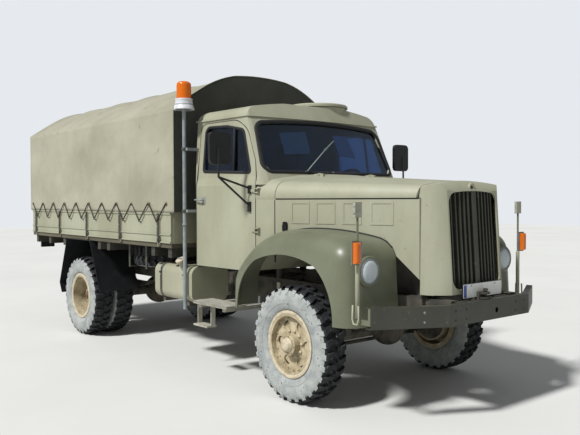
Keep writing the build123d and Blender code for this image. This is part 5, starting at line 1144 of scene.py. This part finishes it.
# columns: across, up
BUMPER_BOLTS = [(y, z) for middle in (-BOLT_GROUP_Y, BOLT_GROUP_Y)
                for y in (middle - BOLT_APART, middle + BOLT_APART) for z in BOLT_ZS]
heads = []
for y, z in BUMPER_BOLTS:
    at = (BUMPER_FACE - BOLT_SUNK, y, z)
    heads += [turned("washer", WASHER, 20, pole_grey, at, "X"),
              turned("bolt", HEX_HEAD, 6, pole_grey, at, "X")]
for side in (1, -1):
    for z in BOLT_ZS:
        bolt = turned("bolt", DOMED_HEAD, 12, pole_grey, axis="X")
        turn = Matrix.Rotation(side * END_SWEEP, 4, "Z")
        bolt.data.transform(Matrix.Translation((END_BOLT_AT[0], side * END_BOLT_AT[1], z)) @ turn)
        heads.append(bolt)
bumper_bolts = joined("bumper_bolts", heads)
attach(bumper_bolts, "chassis")

# columns: across, up, corner radius
MOUTH = [(-0.072, 0.790, 0.012), (0.052, 0.790, 0.012), (0.052, 0.922, 0.012), (-0.072, 0.922, 0.012)]
mouth_line = [(BUMPER_FACE - 0.0082, p.x, p.y) for p in rounded_loop(MOUTH, 4, 3)]
# The black plate in the tow jaw's mouth is painted shade: a flat dark sheet where the recess lies in shadow
mouth = joined("tow_mouth", [strip("rim", mouth_line, (1, 0, 0), 0.012, 0.006, chassis_black, closed=True),
                             slab("dark", (BUMPER_FACE - 0.0105, -0.070, 0.792),
                                  (BUMPER_FACE - 0.0072, 0.050, 0.920), core_black, 0.001)])
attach(mouth, "chassis")

BOSS_Z = 1.849
boss_at = hit("grille", (3.8, 0.0, BOSS_Z), (-1, 0, 0)) or hit("radiator_shell", (3.8, 0.0, BOSS_Z),
                                                               (-1, 0, 0))
badge_ring = [(-0.010, 0.016), (-0.010, 0.040), (0.004, 0.040), (0.009, 0.034), (0.009, 0.022),
              (0.004, 0.016)]
centre_cap = [(-0.010, 0.0), (-0.010, 0.0155), (0.003, 0.0155), (0.006, 0.010), (0.006, 0.0)]
boss = joined("grille_boss", [turned("ring", badge_ring, 32, olive, boss_at, "X"),
                              turned("cap", centre_cap, 24, black_gloss, boss_at, "X")])
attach(boss, "chassis")
print("plate at", tuple(PLATE_AT), "boss at", [round(c, 3) for c in boss_at])

# %% Indicator backs, marker rods' lower ends and their bolts
ROD_X, ROD_Y, ROD_R, ROD_BEND_Z = 3.231, 1.080, 0.009, 1.255
marker_grey = finish("grey_cast_block", "A5A597", "8C8C7E", rough=0.6, patch_mm=60, grain_mm=3, bump=0.15)
sleeve = [(0.0, ROD_R + 0.0004), (0.0, 0.0175), (0.98, 0.0175), (1.0, 0.0150), (1.0, ROD_R + 0.0004)]
for side_name, side in BOTH_SIDES:
    lower = turned("lower", [(0.842 + (ROD_BEND_Z - 0.842) * a, r) for a, r in sleeve], 16, olive,
                   (ROD_X, side * ROD_Y, 0), "Z")
    parts = [lower]
    parts.append(side_slab("back", side, (ROD_X + 0.0162, ROD_Y - 0.034, 1.262),
                           (ROD_X + 0.0195, ROD_Y + 0.080, 1.432), pole_grey))
    for z in (1.645, 1.700):
        parts.append(turned("bolt", facing(side, BOLT), 6, pole_grey, (ROD_X, side * (ROD_Y + 0.034), z)))
    parts.append(side_slab("block", side, (ROD_X - 0.0152, ROD_Y - 0.0352, 1.6158),
                           (ROD_X + 0.0152, ROD_Y + 0.0352, 1.7300), marker_grey))
    clip = [(ROD_X - 0.030, side * (ROD_Y + 0.020), 0.945), (ROD_X - 0.034, side * (ROD_Y + 0.021), 0.84),
            (ROD_X - 0.020, side * (ROD_Y + 0.022), 0.800), (ROD_X + 0.020, side * (ROD_Y + 0.022), 0.800),
            (ROD_X + 0.034, side * (ROD_Y + 0.021), 0.84), (ROD_X + 0.030, side * (ROD_Y + 0.020), 0.945)]
    parts.append(tube_along("clip", [clip], 0.0075, olive, 8))
    rod_parts = joined("marker_rod_fittings_" + side_name, parts)
    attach(rod_parts, "chassis")
print("marker rods", 2)

# %% [markdown]
# ## Wheel nuts and hubs
# The split rim is clamped by a ring of small nuts, and the wheel is held on its hub by a ring of larger ones.
# One nut is turned from a short outline with six flats, a stud end stands out of it, and the ring tree sets
# the copies round the axle. The flange of the rim is worn pale by tyre levers and the road.

# %% Nuts, studs, hub caps and flanges
def nut_profile(flat, height):
    return [(0.0, 0.0), (0.0, flat), (height - 0.002, flat), (height, flat - 0.003), (height, flat * 0.5),
            (height + 0.007, flat * 0.5), (height + 0.009, flat * 0.35), (height + 0.009, 0.0)]


def nuts(name, side, count, at_radius, face, flat, material, centre, first=0.0):
    """A ring of nuts round a wheel's axle, whose outer side is +Y (1) or -Y (-1)."""
    nut = turned("nut", [(side * (face + a), r) for a, r in nut_profile(flat, flat * 0.85)], 6, material,
                 (0, 0, at_radius))
    return ring(name, nut, count, material, centre, first)


rim_pale = finish("worn_wheel_flange", "C9BDA4", "A79B84", rough=0.6, patch_mm=50, grain_mm=3, bump=0.15,
                  speck="6A604F", speck_share=0.08)
hub_brown = finish("rusty_hub_paint", "4A3B2E", "6B523A", rough=0.8, patch_mm=60, grain_mm=3, bump=0.3,
                   speck="8A6A48", speck_share=0.1)
nut_steel = finish("zinc_plated_nut", "A79878", "8A7C60", rough=0.45, patch_mm=30, grain_mm=2, bump=0.05,
                   metallic=1.0)
# columns: along the axle from the tyre's middle, radius
FLANGE = [(0.094, 0.258), (0.106, 0.262), (0.1075, 0.276), (0.1075, 0.290), (0.105, 0.2935), (0.0985, 0.2935),
          (0.0985, 0.289), (0.1035, 0.286), (0.1035, 0.270), (0.094, 0.262)]
FRONT_CAP = [(0.117, 0.0), (0.117, 0.060), (0.124, 0.062), (0.128, 0.056), (0.150, 0.050), (0.156, 0.042),
             (0.157, 0.0)]
REAR_CAP = [(0.141, 0.0), (0.141, 0.068), (0.148, 0.070), (0.152, 0.062), (0.156, 0.030), (0.172, 0.026),
            (0.174, 0.0)]
TWIN_Y = (REAR_INNER_Y + REAR_OUTER_Y) / 2
# columns: name, count, radius of the ring, seat from the wheel's middle, size, finish, first angle
FRONT_NUTS = (("rim_nuts", 20, 0.2265, 0.0542, 0.0085, rim_tan, 0.0),
              ("hub_nuts", 10, 0.115, 0.0542, 0.0150, rim_pale, 0.2),
              ("cap_nuts", 8, 0.076, 0.118, 0.0075, rim_tan, 0.1))
REAR_NUTS = (("hub_nuts", 10, 0.118, 0.0462, 0.0155, nut_steel, 0.15),
             ("cap_nuts", 10, 0.080, 0.142, 0.0070, nut_steel, 0.3),
             ("rim_nuts", 20, 0.2265, 0.0462, 0.0085, hub_brown, 0.0))
# columns: wheel, its body, x of the axle, y of the nuts and of the flange, nuts, cap, cap's finish
WHEELS = (("front_wheel", "front_wheel", FRONT_X, FRONT_Y, FRONT_Y, FRONT_NUTS, FRONT_CAP, rim_pale),
          ("rear_wheel", "rear_wheels", REAR_X, TWIN_Y, REAR_OUTER_Y, REAR_NUTS, REAR_CAP, hub_brown))
for side_name, side in BOTH_SIDES:
    for wheel, body, x, nut_y, flange_y, nut_rows, cap, cap_finish in WHEELS:
        centre, outer = ((x, side * y, AXLE_Z) for y in (nut_y, flange_y))
        parts = [nuts(name, side, count, at_radius, face, size, material, centre, first)
                 for name, count, at_radius, face, size, material, first in nut_rows]
        parts += [turned("flange", facing(side, FLANGE), 72, rim_pale, outer),
                  turned("cap", facing(side, cap), 32, cap_finish, centre)]
        fittings = joined(wheel + "_fittings_" + side_name, parts)
        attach(fittings, body + "_" + side_name)
print("nuts on a front wheel", sum(nut_row[1] for nut_row in FRONT_NUTS))

# %% [markdown]
# ## Tank, steps and mirrors
# The tank hangs in two steel straps lined with felt, and its filler is closed by a cap with a lever. The
# running boards are chequer plate: raised lozenges in two directions, so that a wet boot doesn't slip. The
# outer edge of the plate is cut to teeth.

# %% Tank straps and cap
STRAP_X = (0.150, 0.650)
TANK_OUT, TANK_IN, TANK_LOW, TANK_HIGH, TANK_TURN = 1.0592, 0.5958, 0.6778, 1.0622, 0.094
loop = rounded_loop([(-TANK_OUT, TANK_LOW, TANK_TURN), (-TANK_OUT, TANK_HIGH, TANK_TURN),
                     (-TANK_IN, TANK_HIGH, TANK_TURN), (-TANK_IN, TANK_LOW, TANK_TURN)], 8, 6)
middle = Vector((-(TANK_OUT + TANK_IN) / 2, (TANK_LOW + TANK_HIGH) / 2))
parts = []
for x in STRAP_X:
    line, ups = [], []
    for i, p in enumerate(loop):
        along = loop[(i + 1) % len(loop)] - loop[i - 1]
        out = Vector((along.y, -along.x)).normalized()
        if out.dot(p - middle) < 0:
            out = -out
        line.append((x, p.x, p.y))
        ups.append(Vector((0, out.x, out.y)))
    parts.append(strip("strap", line, ups, 0.046, 0.0025, chassis_black, closed=True))
    parts.append(tube_along("bolt", [[(x, -TANK_OUT - 0.004, 1.02), (x, -TANK_OUT - 0.004, 0.93)]], 0.006,
                            pole_grey, 8))
    parts.append(slab("lug", (x - 0.020, -TANK_OUT - 0.016, 0.955), (x + 0.020, -TANK_OUT - 0.001, 0.975),
                      chassis_black, 0.003))
tank_straps = joined("tank_straps", parts)
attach(tank_straps, "chassis")
CAP_AT = Vector((0.591, -1.0745, 1.127))
cap = turned("cap", [(-0.022, 0.0485), (-0.022, 0.052), (0.002, 0.053), (0.008, 0.048), (0.009, 0.0),
                     (-0.001, 0.0), (-0.001, 0.0485)], 32, rim_pale, axis="Z")
lever = slab("lever", (-0.040, -0.008, 0.008), (0.040, 0.008, 0.019), pole_grey, 0.003)
cap = joined("tank_cap", [cap, lever])
cap.data.transform(Matrix.Translation(CAP_AT) @ Matrix.Rotation(0.52, 4, "X"))
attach(cap, "chassis")
print("tank straps", len(STRAP_X))

# %% Chequer plate on the running boards
BOARD_X, BOARD_Y, BOARD_TOP = (0.967, 1.560), (0.915, 1.150), 0.745
LOZENGE_LONG, LOZENGE_WIDE, LOZENGE_HIGH, LOZENGE_STEP = 0.022, 0.006, 0.0022, 0.030
LOZENGE_COUNT, LOZENGE_ROWS, TOOTH_COUNT, TOOTH_STEP = 19, 4, 28, 0.021
board_grey = finish("scuffed_step_plate", "A6A498", "827F72", rough=0.5, patch_mm=80, grain_mm=3, bump=0.15,
                    speck="5E584A", speck_share=0.08)


def lozenge(turn):
    """One raised mark of chequer plate: a pointed bar with sloping sides, turned about its middle."""
    ends = [(-LOZENGE_LONG / 2, 0, 0), (0, -LOZENGE_WIDE / 2, 0), (LOZENGE_LONG / 2, 0, 0),
            (0, LOZENGE_WIDE / 2, 0)]
    tops = [(x * 0.7, y * 0.5, LOZENGE_HIGH) for x, y, _ in ends]
    spin = Matrix.Rotation(turn, 3, "Z")
    faces = [(3, 2, 1, 0), (4, 5, 6, 7)] + [(i, (i + 1) % 4, (i + 1) % 4 + 4, i + 4) for i in range(4)]
    return mesh_object("lozenge", [spin @ Vector(p) for p in ends + tops], faces, board_grey)


for side_name, side in BOTH_SIDES:
    parts = []
    for number, turn in enumerate((math.pi / 4, -math.pi / 4)):
        for half in (0, 1):
            line = row("line", lozenge(turn), LOZENGE_COUNT, (LOZENGE_STEP, 0, 0), board_grey)
            field = row("field", line, LOZENGE_ROWS, (0, side * 2 * LOZENGE_STEP, 0), board_grey)
            shift = (BOARD_X[0] + 0.018 + ((number + half) % 2) * LOZENGE_STEP / 2,
                     side * (BOARD_Y[0] + 0.016 + half * LOZENGE_STEP), BOARD_TOP + 0.0002)
            stagger = Vector((0, side * number * LOZENGE_STEP / 2, 0))
            field.data.transform(Matrix.Translation(Vector(shift) + stagger))
            parts.append(field)
    tooth = mesh_object("tooth", [(0, 0, 0), (0.020, 0, 0), (0.010, side * 0.010, 0.0), (0, 0, 0.012),
                                  (0.020, 0, 0.012),
                                  (0.010, side * 0.010, 0.012)], [(0, 1, 2), (3, 5, 4), (0, 3, 4, 1),
                                                                  (1, 4, 5, 2), (2, 5, 3, 0)],
                        board_grey)
    teeth = row("teeth", face_outwards(tooth), TOOTH_COUNT, (TOOTH_STEP, 0, 0), board_grey)
    teeth.data.transform(Matrix.Translation((BOARD_X[0] + 0.003, side * (BOARD_Y[1] + 0.0003),
                                             BOARD_TOP - 0.014)))
    plate = joined("chequer_plate_" + side_name, parts + [teeth])
    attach(plate, "chassis")
print("lozenges a board", LOZENGE_COUNT * LOZENGE_ROWS * 4)

# %% Mirror glasses
MIRROR_FACE_X, MIRROR_Y, MIRROR_Z, MIRROR_RIM = 1.581, (1.130, 1.360), (2.080, 2.380), 0.010
for side_name, side in BOTH_SIDES:
    low = (MIRROR_FACE_X - 0.003, MIRROR_Y[0] + MIRROR_RIM, MIRROR_Z[0] + MIRROR_RIM)
    high = (MIRROR_FACE_X - 0.0003, MIRROR_Y[1] - MIRROR_RIM, MIRROR_Z[1] - MIRROR_RIM)
    mirror_glass = side_slab("mirror_glass_" + side_name, side, low, high, polished, 0.001)
    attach(mirror_glass, "door_" + side_name)
print("mirror glasses", 2)

# %% [markdown]
# ## The bed's stakes and the beacon
# Flat steel stakes hold the dropsides, each with a bolted plate at its head and a spring latch at its foot.
# The beacon stands on a moulded white cone, clamped to a galvanised pole.

# %% Stakes and latches
STAKE_X, STAKE_HALF, STAKE_FACE = (0.256, -0.679, -1.635, -2.553, -3.476), 0.0242, 1.1505
COVER_Z, STRAP_Z, FOOT_Z = (1.300, 1.612), (1.392, 1.418), (1.292, 1.322)
STAKE_BOLT_ZS, STRAP_REACH, FOOT_HALF = (1.345, 1.470, 1.585), 0.060, 0.038
OUTER_FACE, INNER_FACE = (STAKE_FACE - 0.0015, STAKE_FACE + 0.0045), (STAKE_FACE - 0.014, STAKE_FACE - 0.002)
stake_parts = {}
for side in (1, -1):
    parts = stake_parts[side] = []
    for x in STAKE_X:
        # columns: name, x, y and z from and to, finish
        for part, xs, ys, zs, material in (
                ("cover", (x - STAKE_HALF, x + STAKE_HALF), OUTER_FACE, COVER_Z, chassis_black),
                ("strap", (x - STRAP_REACH, x - STAKE_HALF), INNER_FACE, STRAP_Z, pole_grey),
                ("foot", (x - FOOT_HALF, x + FOOT_HALF), INNER_FACE, FOOT_Z, chassis_black)):
            parts.append(side_slab(part, side, (xs[0], ys[0], zs[0]), (xs[1], ys[1], zs[1]), material))
        for z in STAKE_BOLT_ZS:
            parts.append(turned("bolt", facing(side, BOLT), 6, pole_grey, (x, side * OUTER_FACE[1], z)))
        latch = [(x + 0.034, side * (STAKE_FACE - 0.006), 1.360),
                 (x + 0.034, side * (STAKE_FACE + 0.010), 1.340),
                 (x + 0.030, side * (STAKE_FACE + 0.012), 1.290),
                 (x + 0.014, side * (STAKE_FACE + 0.008), 1.268)]
        parts.append(tube_along("latch", [latch], 0.0055, black_gloss, 8))
for side_name, side in BOTH_SIDES:
    stakes = joined("stakes_" + side_name, stake_parts[side])
    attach(stakes, "chassis")
print("stakes a side", len(STAKE_X))

# %% Beacon cone, pole clamps and dome ring
POLE_X, POLE_Y, POLE_R, POLE_TOP = 0.715, -1.090, 0.0195, 2.690
# columns: height above the pole's top, radius
CONE = [(-0.0035, 0.070), (-0.0035, 0.1085), (0.006, 0.1090), (0.012, 0.1060), (0.040, 0.0980),
        (0.044, 0.0955), (0.094, 0.0862),
        (0.100, 0.0905), (0.1075, 0.0905), (0.1078, 0.0760), (0.104, 0.0740), (0.0985, 0.0800),
        (0.050, 0.0905), (0.006, 0.0990)]
cone = turned("cone", CONE, 48, lamp_white, (POLE_X, POLE_Y, POLE_TOP), "Z")
parts = [cone]
for z in (1.640, 2.280):
    parts.append(turned("clamp", [(-0.016, POLE_R + 0.0005), (-0.016, POLE_R + 0.006),
                                  (-0.012, POLE_R + 0.009),
                                  (0.012, POLE_R + 0.009), (0.016, POLE_R + 0.006), (0.016, POLE_R + 0.0005)],
                        24, chassis_black, (POLE_X, POLE_Y, z), "Z"))
parts.append(turned("ring", [(-0.010, POLE_R + 0.0005), (-0.010, POLE_R + 0.007), (0.010, POLE_R + 0.007),
                             (0.010, POLE_R + 0.0005)], 24, pole_grey, (POLE_X, POLE_Y, 1.50), "Z"))
beacon_parts = joined("beacon_cone_and_clamps", parts)
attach(beacon_parts, "chassis")
print("beacon cone", len(CONE), "points")

# %% [markdown]
# ## Padded seats
# Each seat is a steel box with a cushion and a leaning back of foam under vinyl. The foam is made as a
# slightly small block, cut into even squares, and blown up by a cloth simulation that stops when the cover is
# tight, so its sides pull in between the corners. The back is the same block turned.

# %% Cushions and backs
SEAT_Y, PAD_VOXEL, PAD_MOVE, PAD_PRESSURE, PAD_FRAMES = 0.430, 0.011, 0.024, 4.0, 20
CUSHION_X, CUSHION_Z, CUSHION_HALF = (0.925, 1.356), (1.374, 1.462), 0.232
BACK_AT, BACK_LEAN, BACK_HALF_T, BACK_HALF, BACK_HALF_HIGH = (0.872, 0, 1.755), -0.155, 0.036, 0.222, 0.250
BOX_X, BOX_Z, BOX_HALF = (0.930, 1.330), (1.121, 1.352), 0.228
# columns: x and z of the posts that carry the back
POST, POST_OUT = ((0.925, 1.30), (0.900, 1.36), (0.842, 1.70)), 0.17


def pad_block(name, low, high, bead):
    """A rounded block of foam before it swells, cut to even squares."""
    block = slab(name, low, high, seat_cloth, bead)
    remesh = block.modifiers.new("squares", "REMESH")
    remesh.mode, remesh.voxel_size = "VOXEL", PAD_VOXEL
    mesh = baked(block)
    block.modifiers.clear()
    block.data = mesh
    return block


def swell(pad):
    """Blows the pad up as cloth, caps how far each point moves, and smooths it with one subdivision."""
    start = [v.co.copy() for v in pad.data.vertices]
    scene = bpy.context.scene
    cloth_cover = pad.modifiers.new("cover", "CLOTH")
    cloth_cover.settings.use_pressure = True
    cloth_cover.settings.uniform_pressure_force = PAD_PRESSURE
    cloth_cover.settings.effector_weights.gravity = 0.0
    for frame_number in range(1, PAD_FRAMES + 1):
        scene.frame_set(frame_number)
    blown = baked(pad)
    pad.modifiers.clear()
    for vertex, old, new in zip(pad.data.vertices, start, blown.vertices):
        move = new.co - old
        if move.length > PAD_MOVE:
            move *= PAD_MOVE / move.length
        vertex.co = old + move
    scene.frame_set(1)
    smooth = pad.modifiers.new("smooth", "SUBSURF")
    smooth.levels = 1
    mesh = baked(pad)
    pad.modifiers.clear()
    pad.data = mesh
    pad.data.materials.clear()
    pad.data.materials.append(seat_cloth)
    pad.data.polygons.foreach_set("use_smooth", [True] * len(pad.data.polygons))
    return pad


for side_name, side in BOTH_SIDES:
    y = side * SEAT_Y
    cushion = swell(pad_block("seat_cushion_" + side_name, (CUSHION_X[0], y - CUSHION_HALF, CUSHION_Z[0]),
                              (CUSHION_X[1], y + CUSHION_HALF, CUSHION_Z[1]), 0.035))
    back = swell(pad_block("seat_back_" + side_name, (-BACK_HALF_T, y - BACK_HALF, -BACK_HALF_HIGH),
                           (BACK_HALF_T, y + BACK_HALF, BACK_HALF_HIGH), 0.030))
    back.data.transform(Matrix.Translation(BACK_AT) @ Matrix.Rotation(BACK_LEAN, 4, "Y"))
    box = slab("box", (BOX_X[0], y - BOX_HALF, BOX_Z[0]), (BOX_X[1], y + BOX_HALF, BOX_Z[1]), chassis_black,
               0.010)
    post = [[(x, y + out, z) for x, z in POST] for out in (-POST_OUT, POST_OUT)]
    posts = tube_along("posts", post, 0.011, black_gloss, 10)
    stand = joined("seat_stand_" + side_name, [box, posts])
    for piece in (cushion, back):
        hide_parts("seats")
        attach(piece, "chassis")
    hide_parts("seats")
    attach(stand, "chassis")
    print("pad triangles", triangles(cushion))

# %% [markdown]
# ## Floor, world and light
# The floor and the world are pale and plain. The world is white to the camera and through glass, while
# what it gives the object stays moderate, so that a colour renders about as it is written.

# %% Stage
SHADE_LEVEL, SUN_POWER, SUN_SPREAD, SUN_WAY = 0.34, 4.2, math.radians(7), (-0.02, 0.66, -0.75)
floor = mesh_object("studio_floor", [(-40, -40, 0), (40, -40, 0), (40, 40, 0), (-40, 40, 0)], [(0, 1, 2, 3)],
                    finish("pale_studio_floor", "D6D6D2", "CFCFCB", rough=0.9, patch_mm=4000, grain_mm=20,
                           bump=0.02))
world = bpy.data.worlds.new("studio")
bpy.context.scene.world = world
world.use_nodes = True
world_tree = world.node_tree
backdrop = world_tree.nodes["Background"]
backdrop.inputs["Color"].default_value = hue("E6EAEE")
rays = add(world_tree, "ShaderNodeLightPath")
seen = add(world_tree, "ShaderNodeMath", {"operation": "MAXIMUM"},
           {0: rays.outputs["Is Camera Ray"], 1: rays.outputs["Is Transmission Ray"]})
level = add(world_tree, "ShaderNodeMapRange", {"To Min": SHADE_LEVEL, "To Max": 1.0},
            {"Value": seen.outputs[0]})
world_tree.links.new(level.outputs[0], backdrop.inputs["Strength"])
sun = bpy.data.lights.new("soft_sun", "SUN")
sun.energy, sun.angle = SUN_POWER, SUN_SPREAD
sun_object = bpy.data.objects.new("soft_sun", sun)
sun_object.rotation_mode = "QUATERNION"
sun_object.rotation_quaternion = Vector(SUN_WAY).to_track_quat("-Z", "Y")
bpy.context.scene.collection.objects.link(sun_object)
bpy.context.scene.view_settings.view_transform = "Standard"
